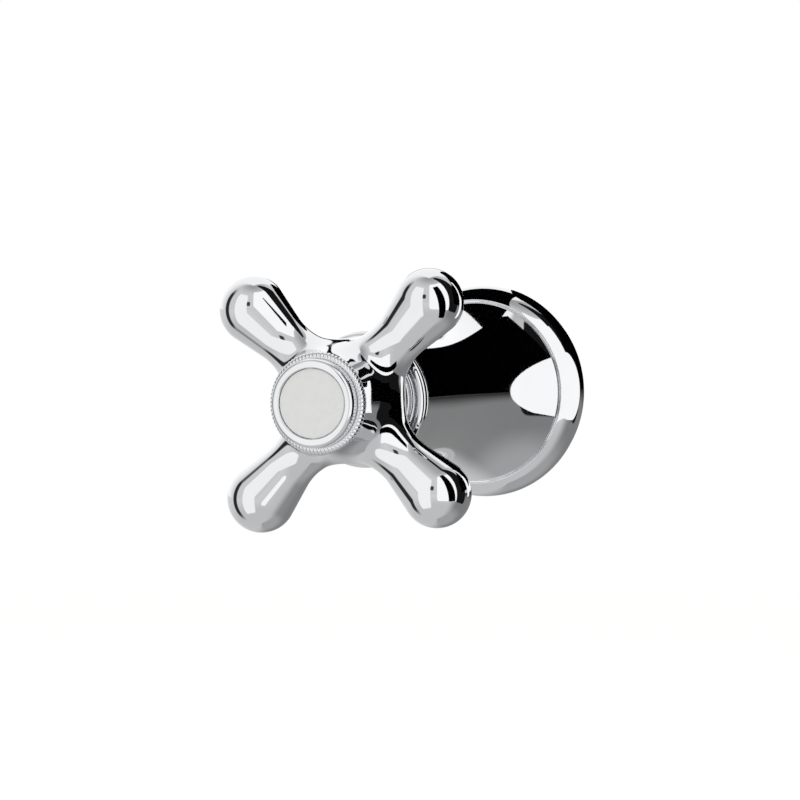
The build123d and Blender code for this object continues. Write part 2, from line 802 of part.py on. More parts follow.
# O-ring that holds the cap's skirt in the hub
with BuildPart() as cap_o_ring:
    with BuildSketch(half_section):
        with Locations((cap_seal_radius, ring_front - cap_seal_drop)):
            Circle(cap_seal_section_radius)
    revolve(axis=Axis.Y)
save(cap_o_ring, "cap_o_ring")

# Plain disc set in the bezel
with BuildPart() as cap_insert:
    with BuildSketch(station(cap_front - insert_recess)):
        Circle(insert_radius)
    extrude(amount=-insert_thickness)
    fillet(cap_insert.edges().group_by(Axis.Y)[0], insert_edge_round)
save(cap_insert, "cap_insert")
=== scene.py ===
"""Dresses the concealed shut-off valve: chrome cross handle, index cap, rope ring, collar nut and
trumpet wall flange, with finishes for the brass headwork and body behind them."""

import json
import math

import bmesh
import bpy
import numpy as np
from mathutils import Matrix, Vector


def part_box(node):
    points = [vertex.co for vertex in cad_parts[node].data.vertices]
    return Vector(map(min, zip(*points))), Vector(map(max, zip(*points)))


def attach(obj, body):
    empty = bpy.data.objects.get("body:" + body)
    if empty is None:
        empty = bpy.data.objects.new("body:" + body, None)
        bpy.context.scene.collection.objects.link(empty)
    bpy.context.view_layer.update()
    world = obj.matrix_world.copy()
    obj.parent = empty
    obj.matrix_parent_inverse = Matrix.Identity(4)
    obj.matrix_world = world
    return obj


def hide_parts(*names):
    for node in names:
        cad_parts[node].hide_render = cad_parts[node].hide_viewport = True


bl_info = {
    "name": "Concealed shut-off valve",
    "version": (1, 0, 0),
    "blender": (4, 5, 0),
    "location": "View3D > Sidebar > Valve",
    "description": "Builds the pieces, finishes and studio of a concealed shut-off valve",
    "category": "Object",
}

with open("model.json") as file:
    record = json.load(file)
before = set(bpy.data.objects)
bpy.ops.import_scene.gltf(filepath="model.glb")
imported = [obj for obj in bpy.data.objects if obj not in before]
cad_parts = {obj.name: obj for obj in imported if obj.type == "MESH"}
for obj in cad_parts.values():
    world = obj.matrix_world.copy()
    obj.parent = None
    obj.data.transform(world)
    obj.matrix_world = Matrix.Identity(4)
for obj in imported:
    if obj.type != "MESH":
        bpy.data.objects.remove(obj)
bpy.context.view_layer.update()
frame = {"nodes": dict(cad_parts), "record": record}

MM = 0.001
AROUND = 256
ARC_STEPS = 8
SUPPORT = 0.03 * MM
# Metal left in front of and behind the handle for its bores to cut away
SPARE_FRONT = 1.0 * MM
SPARE_BACK = 12.0 * MM


# Sizes, finishes and studio settings


def length(name, description, millimetres):
    """A size in millimetres, kept in metres."""
    return bpy.props.FloatProperty(
        name=name, description=description, default=millimetres * MM, unit="LENGTH", precision=5
    )


def angle(name, description, degrees):
    """An angle in degrees, kept in radians."""
    return bpy.props.FloatProperty(
        name=name, description=description, default=math.radians(degrees), unit="ROTATION"
    )


def from_hex(code):
    """Linear colour of an sRGB hex code."""
    parts = [int(code[i:i + 2], 16) / 255 for i in (0, 2, 4)]
    return tuple(p / 12.92 if p <= 0.04045 else ((p + 0.055) / 1.055) ** 2.4 for p in parts)


def colour(name, description, code):
    """A colour given by its sRGB hex code."""
    return bpy.props.FloatVectorProperty(
        name=name, description=description, default=from_hex(code), subtype="COLOR",
        size=3, min=0.0, max=1.0,
    )


def reach_of(node):
    """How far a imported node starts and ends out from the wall, in millimetres."""
    low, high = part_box(node)
    return -high[1] / MM, -low[1] / MM


HUB_LENGTH = 18.75
ARMS_BEFORE_BACK = 4.5
HUB_FRONT = reach_of("cross_handle")[1]
HUB_BACK = HUB_FRONT - HUB_LENGTH
NUT_BACK, NUT_FRONT = reach_of("collar_nut")
RING_BACK, RING_FRONT = reach_of("rope_ring")
CAP_BACK, CAP_FRONT = reach_of("index_cap")
INSERT_BACK, INSERT_FRONT = reach_of("cap_insert")
BELL_LENGTH = reach_of("bell_flange")[1]


class HandleSizes(bpy.types.PropertyGroup):
    hub_back: length("Hub back", "Distance of the hub's back face from the wall", HUB_BACK)
    hub_front: length("Hub front", "Distance of the hub's front face from the wall", HUB_FRONT)
    arm_plane: length("Arm plane", "Distance of the arms' axes from the wall",
                      HUB_BACK + ARMS_BEFORE_BACK)
    turn: angle("Turn", "How far the cross is turned from a straight X", 2.5)
    bulb_circle: length("Bulb circle", "Radius of the circle through the bulbs' centres", 29.9)
    bulb_radius: length("Bulb radius", "Radius of the round end of an arm", 7.65)
    neck_radius: length("Neck radius", "Radius of an arm where it is thinnest", 5.75)
    neck_distance: length("Neck distance", "Distance of the thinnest place from the axis", 18.4)
    root_distance: length("Root distance", "Where an arm starts inside the hub", 7.8)
    front_radius: length("Front radius", "Radius of the hub at its front face", 10.8)
    waist_radius: length("Waist radius", "Radius of the hub between its face and the arms", 11.7)
    waist_height: length("Waist height", "Height of the waist above the arm plane", 7.3)
    middle_radius: length("Middle radius", "Radius of the hub in the arm plane", 13.0)
    heel_radius: length("Heel radius", "Radius of the hub between the arms and its back", 12.9)
    heel_depth: length("Heel depth", "Depth of the heel below the arm plane", 2.4)
    back_radius: length("Back radius", "Radius of the hub at its back face", 12.2)
    web_blend: length("Web blend", "Softness of the ridge between two arms", 3.0)
    web_start: angle("Web start", "Turn from an arm at which the web begins", 22.0)
    web_span: angle("Web span", "Turn over which the web grows to its full softness", 14.0)
    hub_blend: length("Hub blend", "Softness of the join between arms and hub", 3.0)
    relief_radius: length("Relief radius", "Radius of the flat relief at the back", 17.0)
    pocket_radius: length("Pocket radius", "Radius of the pocket for the cap", 8.8)
    pocket_depth: length("Pocket depth", "Depth of the pocket for the cap", 6.1)
    screw_hole_radius: length("Screw hole radius", "Radius of the hole for the screw", 2.55)
    web_thickness: length("Web thickness", "Metal between the pocket and the adapter", 2.0)
    adapter_hole_radius: length("Adapter hole radius", "Radius of the adapter's bore", 6.55)
    edge_round: length("Edge round", "Round of the hub's front edge", 0.35)
    mesh_step: length("Mesh step", "Spacing of the mesh on the handle", 0.36)


class FlangeSizes(bpy.types.PropertyGroup):
    bell_length: length("Length", "Distance of the neck's end from the wall", BELL_LENGTH)
    neck_bore: length("Neck bore", "Radius of the neck's bore", 11.5)
    neck_length: length("Neck length", "Length of the neck's bore", 9.0)
    bead_radius: length("Bead radius", "Largest radius of the bead at the neck", 15.3)
    bead_front_radius: length("Bead front radius", "Radius where the bead meets the face", 13.7)
    bead_set_back: length("Bead set back", "Distance from the face to the bead's crest", 1.7)
    bead_length: length("Bead length", "Distance from the face to the throat", 3.6)
    throat_radius: length("Throat radius", "Radius of the throat behind the bead", 13.8)
    throat_slope: angle("Throat slope", "Lean of the bell's side at the throat", 1.5)
    flare_slope: angle("Flare slope", "Lean of the bell's side at the groove", 30.0)
    flare_radius: length("Flare radius", "Radius where the flare meets the groove", 20.95)
    flare_out: length("Flare end", "Distance of the flare's end from the wall", 9.4)
    groove_radius: length("Groove radius", "Inner radius of the groove's floor", 21.1)
    groove_depth: length("Groove depth", "Depth of the groove before the rim", 0.6)
    rim_inner_radius: length("Rim inner radius", "Radius where the rim rises", 21.5)
    rim_height: length("Rim height", "Height of the rim's inner edge", 9.25)
    rim_slope: angle("Rim slope", "Slope of the rim's face beside the groove", 30.0)
    rim_radius: length("Rim radius", "Largest radius of the flange", 25.0)
    widest_out: length("Widest out", "Distance of the largest radius from the wall", 3.0)
    foot_radius: length("Foot radius", "Radius of the foot on the wall", 24.1)
    rebate_radius: length("Rebate radius", "Radius of the gasket's rebate", 22.9)
    rebate_inner_radius: length("Rebate inner radius", "Radius of the hollow", 20.8)
    rebate_depth: length("Rebate depth", "Depth of the gasket's rebate", 2.5)
    wall: length("Wall", "Thickness of the bell", 1.2)
    edge_round: length("Edge round", "Round of the turned edges", 0.14)


class NutSizes(bpy.types.PropertyGroup):
    back: length("Back", "Distance of the nut's back face from the wall", NUT_BACK)
    front: length("Front", "Distance of the nut's front face from the wall", NUT_FRONT)
    rim_radius: length("Rim radius", "Radius of the nut's rim", 13.2)
    rim_length: length("Rim length", "Length of the rim", 3.1)
    skirt_radius: length("Skirt radius", "Radius of the skirt behind the rim", 12.5)
    bore_radius: length("Bore radius", "Radius over the sleeve's thread", 11.45)
    lip_radius: length("Lip radius", "Radius of the hole in the front lip", 7.4)
    lip_thickness: length("Lip thickness", "Thickness of the front lip", 1.6)
    edge_round: length("Edge round", "Round of the rim's front edge", 0.6)
    skirt_round: length("Skirt round", "Round of the skirt's end", 0.1)
    lip_round: length("Lip round", "Round of the hole in the lip", 0.15)


class RopeRingSizes(bpy.types.PropertyGroup):
    back: length("Back", "Distance of the ring's back from the wall", RING_BACK)
    front: length("Front", "Distance of the ring's front from the wall", RING_FRONT)
    inner_radius: length("Inner radius", "Radius of the ring's hole", 8.95)
    outer_radius: length("Outer radius", "Radius over the strands", 11.4)
    strands: bpy.props.IntProperty(
        name="Strands", description="Number of slanted strands round the ring", default=76, min=3
    )
    steps: bpy.props.IntProperty(
        name="Steps", description="Faces across one strand", default=16, min=4
    )
    groove: length("Groove", "Depth of the grooves between the strands", 0.17)
    crown: bpy.props.FloatProperty(
        name="Crown", description="Power of the cosine that rounds a strand", default=0.7
    )
    lay: bpy.props.FloatProperty(
        name="Lay", description="Pitches that a strand advances in one turn of the section",
        default=2.0,
    )


class CapSizes(bpy.types.PropertyGroup):
    back: length("Skirt end", "Distance of the skirt's end from the wall", CAP_BACK)
    seat: length("Seat", "Distance of the bezel's back from the wall", RING_FRONT)
    front: length("Front", "Distance of the bezel's front from the wall", CAP_FRONT)
    radius: length("Radius", "Radius of the bezel", 9.85)
    edge_round: length("Edge round", "Round of the bezel's front edge", 1.1)
    skirt_radius: length("Skirt radius", "Radius of the skirt in the hub", 8.7)
    skirt_wall: length("Skirt wall", "Thickness of the skirt", 1.2)
    top_thickness: length("Top thickness", "Metal under the insert", 1.6)
    seal_drop: length("Seal drop", "Distance of the seal's groove behind the bezel", 3.5)
    groove_width: length("Groove width", "Width of the seal's groove", 0.86)
    groove_floor: length("Groove floor", "Radius of the seal groove's floor", 7.94)
    insert_back: length("Insert back", "Distance of the insert's back from the wall", INSERT_BACK)
    insert_front: length("Insert front", "Distance of the insert's face", INSERT_FRONT)
    insert_radius: length("Insert radius", "Radius of the insert", 7.75)
    insert_round: length("Insert round", "Round of the insert's edge", 0.25)
    insert_gap: length("Insert gap", "Gap round the insert", 0.05)
    inner_round: length("Inner round", "Round of the bezel's inner edge", 0.35)
    seat_round: length("Seat round", "Round of the bezel's back edge", 0.15)
    lead_in: length("Lead in", "Round of the skirt's end", 0.3)


class Finishes(bpy.types.PropertyGroup):
    polished_chrome: colour("Chrome", "Colour of the polished chrome plate", "DCDDDF")
    satin_insert: colour("Insert", "Colour of the pale disc in the cap", "E7E7E6")
    cast_brass: colour("Cast brass", "Colour of the sand blasted casting", "C4A062")
    machined_brass: colour("Turned brass", "Colour of the turned brass", "D8B66E")
    stainless_steel: colour("Stainless steel", "Colour of the screws and washers", "BFBFBD")
    spring_steel: colour("Spring steel", "Colour of the oiled black spring steel", "5A5754")
    black_rubber: colour("Rubber", "Colour of the seals", "1E1E1F")
    grey_foam: colour("Foam", "Colour of the wall gasket", "6E7074")
    white_plastic: colour("Plastic", "Colour of the acetal bush and washer", "E9E6DC")
    fibre_gasket: colour("Fibre", "Colour of the fibre gasket", "8E3428")


class StudioSettings(bpy.types.PropertyGroup):
    azimuth: angle("Azimuth", "Camera's turn round the valve from straight in front", 21.95)
    elevation: angle("Elevation", "Camera's height above level", 1.743)
    distance: length("Distance", "Distance from the aim to the camera", 1250.0)
    aim: bpy.props.FloatVectorProperty(
        name="Aim", description="Point the camera looks at", subtype="XYZ", unit="LENGTH",
        default=(-0.0022146, -0.050920, -0.0008526),
    )
    lens: bpy.props.FloatProperty(
        name="Lens", description="Focal length in millimetres on a 36 mm sensor", default=245.52
    )
    lamp_place: bpy.props.FloatVectorProperty(
        name="Lamp place", description="Place of the soft lamp", subtype="XYZ", unit="LENGTH",
        default=(-0.5, -0.8, 1.4),
    )
    lamp_size: bpy.props.FloatVectorProperty(
        name="Lamp size", description="Width and depth of the soft lamp", size=2, unit="LENGTH",
        default=(1.2, 0.9),
    )
    lamp_power: bpy.props.FloatProperty(
        name="Lamp power", description="Power of the soft lamp in watts", default=5.0
    )
    floor_drop: length("Floor drop", "Distance of the floor below the valve's axis", 250.0)
    floor_radius: length("Floor radius", "Radius of the round floor", 3000.0)
    floor_colour: colour("Floor", "Colour of the pale floor", "E4E4E2")
    floor_lift: bpy.props.FloatProperty(
        name="Floor lift", description="Brightness that the camera sees added to the floor",
        default=0.3,
    )


# Meshes


def finished(name, mesh, node, slot, body):
    """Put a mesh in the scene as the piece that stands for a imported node."""
    mesh.name = name
    mesh.materials.clear()
    mesh.materials.append(finish_for(slot))
    piece = bpy.data.objects.new(name, mesh)
    bpy.context.scene.collection.objects.link(piece)
    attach(piece, body)
    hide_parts(node)


def arc(start, direction, end, steps=ARC_STEPS):
    """Points of the arc that leaves start in a direction and reaches end."""
    start, end = np.array(start, float), np.array(end, float)
    ahead = np.array(direction, float) / np.hypot(*direction)
    beside = np.array((-ahead[1], ahead[0]))
    chord = end - start
    lean = math.atan2(chord @ beside, chord @ ahead)
    radius = np.hypot(*chord) / (2 * math.sin(lean))
    turns = np.linspace(0, 2 * lean, steps + 1)[:, None]
    points = start + radius * (np.sin(turns) * ahead + (1 - np.cos(turns)) * beside)
    return [tuple(point) for point in points]


def curve(start, leave, end, arrive, steps=96):
    """Points of the cubic that leaves start and arrives at end in the given directions."""
    start, end = np.array(start, float), np.array(end, float)
    speed = np.hypot(*(end - start))
    leave, arrive = np.array(leave, float) * speed, np.array(arrive, float) * speed
    t = np.linspace(0, 1, steps + 1)[:, None]
    points = (
        (2 * t**3 - 3 * t**2 + 1) * start
        + (t**3 - 2 * t**2 + t) * leave
        + (3 * t**2 - 2 * t**3) * end
        + (t**3 - t**2) * arrive
    )
    return [tuple(point) for point in points]


def rounded(corners):
    """Closed outline through corners given as radius, distance out and round of each corner."""
    outline = []
    for index, (radius, out, round_size) in enumerate(corners):
        here = np.array((radius, out))
        if not round_size:
            outline.append((radius, out))
            continue
        before = np.array(corners[index - 1][:2]) - here
        after = np.array(corners[(index + 1) % len(corners)][:2]) - here
        before, after = before / np.hypot(*before), after / np.hypot(*after)
        half = math.acos(np.clip(before @ after, -1, 1)) / 2
        cut = round_size / math.tan(half)
        start, end = here + before * cut, here + after * cut
        outline.append(tuple(start + before * SUPPORT))
        outline.extend(arc(start, -before, end, 6))
        outline.append(tuple(end + after * SUPPORT))
    return outline


def lathe(outline, around=AROUND):
    """Turn a closed outline of radius and distance out round the valve's axis."""
    turns = np.linspace(0, 2 * math.pi, around, endpoint=False)
    outline = np.array(outline)
    points = np.stack([
        np.outer(outline[:, 0], np.cos(turns)),
        np.repeat(-outline[:, 1][:, None], around, axis=1),
        np.outer(outline[:, 0], np.sin(turns)),
    ], axis=-1).reshape(-1, 3)
    rows, columns = np.meshgrid(np.arange(len(outline)), np.arange(around), indexing="ij")
    next_row, next_column = (rows + 1) % len(outline), (columns + 1) % around
    quads = np.stack([
        rows * around + columns, rows * around + next_column,
        next_row * around + next_column, next_row * around + columns,
    ], axis=-1).reshape(-1, 4)
    mesh = bpy.data.meshes.new("turned")
    mesh.from_pydata(points.tolist(), [], quads.tolist())
    return tidied(mesh)


def tidied(mesh, weld=0.5e-3 * MM, crease=35.0):
    """Weld the seams and poles, face every face outwards and shade smooth between creases."""
    work = bmesh.new()
    work.from_mesh(mesh)
    bmesh.ops.remove_doubles(work, verts=work.verts, dist=weld)
    bmesh.ops.dissolve_degenerate(work, edges=work.edges, dist=weld)
    bmesh.ops.recalc_face_normals(work, faces=work.faces)
    work.to_mesh(mesh)
    work.free()
    mesh.shade_smooth()
    mesh.set_sharp_from_angle(angle=math.radians(crease))
    return mesh


# Cross handle's shape: the distance outside its skin, and the mesh that wraps it


def circle_through(first, second, third):
    """Centre and radius of the circle through three points of a half section."""
    rows = np.array([np.subtract(second, first), np.subtract(third, second)])
    middles = [np.add(first, second) / 2, np.add(second, third) / 2]
    centre = np.linalg.solve(rows, [row @ middle for row, middle in zip(rows, middles)])
    return centre, np.hypot(*(centre - np.array(first)))


def arm_distance(along, across, sizes):
    """Distance outside one turned arm: web arc, straight taper, then the round bulb."""
    neck, bulb = sizes.neck_distance, sizes.bulb_circle
    web_radius = neck - sizes.neck_radius
    lean = math.acos((web_radius + sizes.bulb_radius) / math.hypot(neck, bulb - neck))
    tilt = math.atan2(-neck, bulb - neck) - lean
    side = np.array((math.cos(tilt), math.sin(tilt)))
    start = np.array((neck, neck)) + web_radius * side
    taper = np.array((bulb, 0)) - sizes.bulb_radius * side - start
    taper_length = np.hypot(*taper)
    taper = taper / taper_length
    travel = (along - start[0]) * taper[0] + (across - start[1]) * taper[1]
    beyond = np.maximum(across - neck, 0)
    to_web = web_radius - np.hypot(along - neck, np.minimum(across, neck) - neck) + beyond
    to_taper = -((along - start[0]) * side[0] + (across - start[1]) * side[1])
    to_bulb = np.hypot(along - bulb, across) - sizes.bulb_radius
    return np.where(travel < 0, to_web, np.where(travel > taper_length, to_bulb, to_taper))


def hub_radius(height, sizes):
    """Radius of the turned hub at each height above the arm plane."""
    top, bottom = sizes.hub_front - sizes.arm_plane, sizes.hub_back - sizes.arm_plane
    upper, upper_radius = circle_through(
        (sizes.front_radius, top), (sizes.waist_radius, sizes.waist_height),
        (sizes.middle_radius, 0),
    )
    lower, lower_radius = circle_through(
        (sizes.middle_radius, 0), (sizes.heel_radius, -sizes.heel_depth),
        (sizes.back_radius, bottom),
    )
    held = np.clip(height, bottom, top)
    above = np.sqrt(np.maximum(upper_radius**2 - (held - upper[1]) ** 2, 0))
    below = np.sqrt(np.maximum(lower_radius**2 - (held - lower[1]) ** 2, 0))
    above = upper[0] + np.sign(sizes.waist_radius - upper[0]) * above
    below = lower[0] + np.sign(sizes.heel_radius - lower[0]) * below
    return np.where(height > 0, above, below)


def cross_distance(points, sizes):
    """Distance outside the cross handle before its face is cut and its bores are made."""
    height = -points[:, 1] - sizes.arm_plane
    radius = np.hypot(points[:, 0], points[:, 2])
    turn = np.arctan2(points[:, 2], points[:, 0]) - sizes.turn
    turn = np.mod(turn, math.pi / 2) - math.pi / 4
    along, beside = radius * np.cos(turn), np.abs(radius * np.sin(turn))
    arm = arm_distance(along, np.hypot(beside, height), sizes)
    next_arm = arm_distance(beside, np.hypot(along, height), sizes)
    soft = sizes.web_blend * height**2 / (height**2 + sizes.web_blend**2) + 1e-6 * MM
    near = np.clip((np.abs(turn) - sizes.web_start) / sizes.web_span, 0, 1)
    near = near * near * (3 - 2 * near)
    arm = arm + near * np.maximum(soft - np.abs(arm - next_arm), 0) ** 2 / (4 * soft)
    arm = np.maximum(arm, sizes.root_distance - along)
    hub = radius - hub_radius(height, sizes)
    overlap = np.maximum(sizes.hub_blend - np.abs(arm - hub), 0)
    skin = np.minimum(arm, hub) - overlap**2 / (4 * sizes.hub_blend)
    top = sizes.hub_front - sizes.arm_plane
    return np.maximum(skin, np.maximum(height - top - SPARE_FRONT, -height - SPARE_BACK))


def cross_slope(points, sizes):
    """Gradient of the handle's distance, by central differences."""
    step = 0.01 * MM
    parts = []
    for axis in range(3):
        shift = np.zeros(3)
        shift[axis] = step
        ahead, behind = cross_distance(points + shift, sizes), cross_distance(points - shift, sizes)
        parts.append((ahead - behind) / (2 * step))
    return np.stack(parts, axis=1)


def wrap(low, high, step, distance):
    """Corners and quads of the skin where a distance changes sign, one corner to a grid cell."""
    axes = [np.arange(a, b + step, step) for a, b in zip(low, high)]
    grid = np.stack(np.meshgrid(*axes, indexing="ij"), axis=-1)
    inside = (distance(grid.reshape(-1, 3)) < 0).reshape(grid.shape[:3]).astype(int)
    count = inside
    for axis in range(3):
        count = np.add(*(count.take(range(first, count.shape[axis] - 1 + first), axis=axis)
                         for first in (0, 1)))
    mixed = (count > 0) & (count < 8)
    number = np.full(mixed.shape, -1)
    number[mixed] = np.arange(mixed.sum())
    corners = grid[:-1, :-1, :-1][mixed] + step / 2
    quads = []
    for axis in range(3):
        first, second = [other for other in range(3) if other != axis]
        spots = np.argwhere(np.diff(inside, axis=axis))
        ring = []
        for left, right in ((-1, -1), (0, -1), (0, 0), (-1, 0)):
            place = spots.copy()
            place[:, first] += left
            place[:, second] += right
            ring.append(number[tuple(place.T)])
        quads.append(np.stack(ring, axis=1))
    return corners, np.concatenate(quads)


def settled(corners, quads, sizes, rounds=3, ease=0.6):
    """Even out the corners along the skin and bring each one onto it."""
    links = np.concatenate([quads[:, [i, (i + 1) % 4]] for i in range(4)])
    for _ in range(rounds):
        total, count = np.zeros_like(corners), np.zeros(len(corners))
        for here, there in (links.T, links.T[::-1]):
            np.add.at(total, here, corners[there])
            np.add.at(count, here, 1)
        corners = (1 - ease) * corners + ease * total / count[:, None]
        for _ in range(3):
            slope = cross_slope(corners, sizes)
            away = cross_distance(corners, sizes) / (slope**2).sum(axis=1)
            corners = corners - np.clip(away, -MM, MM)[:, None] * slope
    return corners


def shade_from_slope(mesh, sizes, alike=0.97):
    """Shade the handle's skin by its exact slope, and cut faces by their own."""
    points = np.empty(len(mesh.vertices) * 3)
    mesh.vertices.foreach_get("co", points)
    slope = cross_slope(points.reshape(-1, 3), sizes)
    slope /= np.linalg.norm(slope, axis=1)[:, None]
    loop_corner = np.empty(len(mesh.loops), dtype=int)
    mesh.loops.foreach_get("vertex_index", loop_corner)
    face_normal = np.empty(len(mesh.polygons) * 3)
    mesh.polygons.foreach_get("normal", face_normal)
    sizes_of = np.empty(len(mesh.polygons), dtype=int)
    mesh.polygons.foreach_get("loop_total", sizes_of)
    loop_face = np.repeat(face_normal.reshape(-1, 3), sizes_of, axis=0)
    own = np.empty(len(mesh.loops) * 3)
    mesh.corner_normals.foreach_get("vector", own)
    exact = slope[loop_corner]
    follows = (exact * loop_face).sum(axis=1) > alike
    mesh.normals_split_custom_set(np.where(follows[:, None], exact, own.reshape(-1, 3)).tolist())


# Node trees


def add_node(tree, kind, inputs=None, **settings):
    """Add one node, set its properties, and set or link its inputs by name or number."""
    node = tree.nodes.new(kind)
    for key, value in settings.items():
        setattr(node, key, value)
    for key, value in (inputs or {}).items():
        if isinstance(value, bpy.types.NodeSocket):
            tree.links.new(value, node.inputs[key])
        else:
            node.inputs[key].default_value = value
    return node


def new_finish(name, **constants):
    """A material with one shader whose constants sit on its own sockets."""
    finish = bpy.data.materials.new(name)
    finish.use_nodes = True
    tree = finish.node_tree
    tree.nodes.clear()
    shader = add_node(tree, "ShaderNodeBsdfPrincipled")
    for key, value in constants.items():
        shader.inputs[key.replace("_", " ").title().replace("Ior", "IOR")].default_value = value
    add_node(tree, "ShaderNodeOutputMaterial", {"Surface": shader.outputs["BSDF"]})
    place = add_node(tree, "ShaderNodeTexCoord").outputs["Object"]
    return finish, tree, shader, place


def formula(tree, term):
    """Nodes for a term such as ("ADD", value, value), where each value may be a term itself."""
    if not isinstance(term, tuple):
        return term
    operation, *values = term
    values = [formula(tree, value) for value in values]
    if operation == "MIX":
        inputs = dict(zip((0, 2, 3), values))
        return add_node(tree, "ShaderNodeMix", inputs, data_type="FLOAT").outputs[0]
    inputs = dict(enumerate(values))
    if operation == "RAMP":
        return add_node(
            tree, "ShaderNodeMapRange", inputs, interpolation_type="SMOOTHSTEP"
        ).outputs[0]
    return add_node(tree, "ShaderNodeMath", inputs, operation=operation).outputs[0]


# Most of a noise's values lie between these two
USUAL = (0.3, 0.7)


def scaled(tint, amount):
    """A colour made darker or lighter by one amount."""
    return tuple(min(part * amount, 1.0) for part in tint)


def dress(tree, shader, cloud, wear, relief, worn=USUAL):
    """Cloud the colour, vary the roughness and raise a relief, each by its own pattern."""
    pattern, dark, light = cloud
    share = add_node(
        tree, "ShaderNodeMapRange", {0: pattern, 1: USUAL[0], 2: USUAL[1]}
    ).outputs[0]
    tints = add_node(
        tree, "ShaderNodeMix", {0: share, 6: (*dark, 1), 7: (*light, 1)}, data_type="RGBA"
    )
    pattern, smooth, dull = wear
    rough = add_node(
        tree, "ShaderNodeMapRange", {0: pattern, 1: worn[0], 2: worn[1], 3: smooth, 4: dull}
    )
    pattern, strength, depth = relief
    bump = add_node(
        tree, "ShaderNodeBump", {"Strength": strength, "Distance": depth, "Height": pattern}
    )
    tree.links.new(tints.outputs[2], shader.inputs["Base Color"])
    tree.links.new(rough.outputs[0], shader.inputs["Roughness"])
    tree.links.new(bump.outputs[0], shader.inputs["Normal"])


def polished_chrome(tint):
    """Bright chrome plate on polished brass: near mirror, with hairlines from wiping."""
    finish, tree, shader, place = new_finish("polished_chrome", metallic=1.0)
    # Slow waves of the hand polished brass under the plate, about 9 mm long
    waves = add_node(
        tree, "ShaderNodeTexNoise", {"Vector": place, "Scale": 110.0, "Detail": 1.0}
    ).outputs[0]
    # Wiping hairlines, drawn 0.4 mm wide so that they show
    drawn_out = add_node(
        tree, "ShaderNodeMapping",
        {"Vector": place, "Rotation": (0.3, 0.5, 0.2), "Scale": (1.0, 0.12, 0.35)},
    ).outputs[0]
    lines = add_node(
        tree, "ShaderNodeTexNoise", {"Vector": drawn_out, "Scale": 2500.0, "Detail": 3.0}
    ).outputs[0]
    dress(tree, shader, cloud=(waves, scaled(tint, 0.97), tint), wear=(lines, 0.028, 0.055),
          relief=(waves, 0.35, 0.02 * MM), worn=(0.35, 0.75))
    return finish


def satin_insert(tint):
    """Moulded pale plastic disc with a satin face: soft sheen, faint flow marks."""
    finish, tree, shader, place = new_finish("satin_insert", ior=1.49)
    # Flow marks about 2 mm across, and a satin grain drawn 0.2 mm coarse so that it shows
    marks = add_node(
        tree, "ShaderNodeTexNoise", {"Vector": place, "Scale": 480.0, "Detail": 3.0}
    ).outputs[0]
    satin = add_node(
        tree, "ShaderNodeTexNoise", {"Vector": place, "Scale": 5200.0, "Detail": 2.0}
    ).outputs[0]
    dress(tree, shader, cloud=(marks, scaled(tint, 0.955), tint), wear=(marks, 0.36, 0.46),
          relief=(satin, 0.25, 0.03 * MM))
    return finish


def cast_brass(tint):
    """Sand cast brass, shot blasted: dull gold with a fine pebbled skin."""
    finish, tree, shader, place = new_finish("cast_brass", metallic=1.0)
    # Blasted pits about 0.35 mm across, over the sand's slower unevenness of 3 mm
    pits = add_node(
        tree, "ShaderNodeTexNoise", {"Vector": place, "Scale": 2800.0, "Detail": 4.0}
    ).outputs[0]
    sand = add_node(
        tree, "ShaderNodeTexNoise", {"Vector": place, "Scale": 330.0, "Detail": 3.0}
    ).outputs[0]
    dress(tree, shader, cloud=(sand, scaled(tint, 0.72), tint), wear=(sand, 0.42, 0.58),
          relief=(pits, 0.8, 0.12 * MM))
    return finish


def turned_brass(tint):
    """Brass turned from bar: bright gold with fine tool rings round the valve's axis."""
    finish, tree, shader, place = new_finish("turned_brass", metallic=1.0)
    # Tool rings along the axis, drawn 0.8 mm apart so that they show
    rings = add_node(
        tree, "ShaderNodeTexWave",
        {"Vector": place, "Scale": 400.0, "Distortion": 0.6, "Detail": 1.0,
         "Detail Scale": 0.5},
        wave_type="BANDS", bands_direction="Y",
    ).outputs[0]
    tarnish = add_node(
        tree, "ShaderNodeTexNoise", {"Vector": place, "Scale": 260.0, "Detail": 4.0}
    ).outputs[0]
    dress(tree, shader, cloud=(tarnish, scaled(tint, 0.82), tint), wear=(tarnish, 0.2, 0.34),
          relief=(rings, 0.4, 0.03 * MM))
    return finish


def turned_steel(name, tint, smooth, dull):
    """Steel turned or stamped, bright or oil blackened: grey metal with fine tool rings."""
    finish, tree, shader, place = new_finish(name, metallic=1.0)
    # Tool rings along the axis, drawn 0.6 mm apart so that they show
    rings = add_node(
        tree, "ShaderNodeTexWave",
        {"Vector": place, "Scale": 500.0, "Distortion": 0.8},
        wave_type="BANDS", bands_direction="Y",
    ).outputs[0]
    oil = add_node(
        tree, "ShaderNodeTexNoise", {"Vector": place, "Scale": 700.0, "Detail": 3.0}
    ).outputs[0]
    dress(tree, shader, cloud=(oil, scaled(tint, 0.85), tint), wear=(oil, smooth, dull),
          relief=(rings, 0.3, 0.02 * MM))
    return finish


def moulded(name, tint, smooth, dull, grain_scale, depth, ior):
    """Moulded or pressed seal and bush materials: dull, with a fine even grain."""
    finish, tree, shader, place = new_finish(name, ior=ior)
    fine = add_node(
        tree, "ShaderNodeTexNoise", {"Vector": place, "Scale": grain_scale, "Detail": 3.0}
    ).outputs[0]
    cloud = add_node(
        tree, "ShaderNodeTexNoise", {"Vector": place, "Scale": 300.0, "Detail": 2.0}
    ).outputs[0]
    dress(tree, shader, cloud=(cloud, scaled(tint, 0.86), scaled(tint, 1.06)),
          wear=(fine, smooth, dull), relief=(fine, 0.6, depth * MM))
    return finish


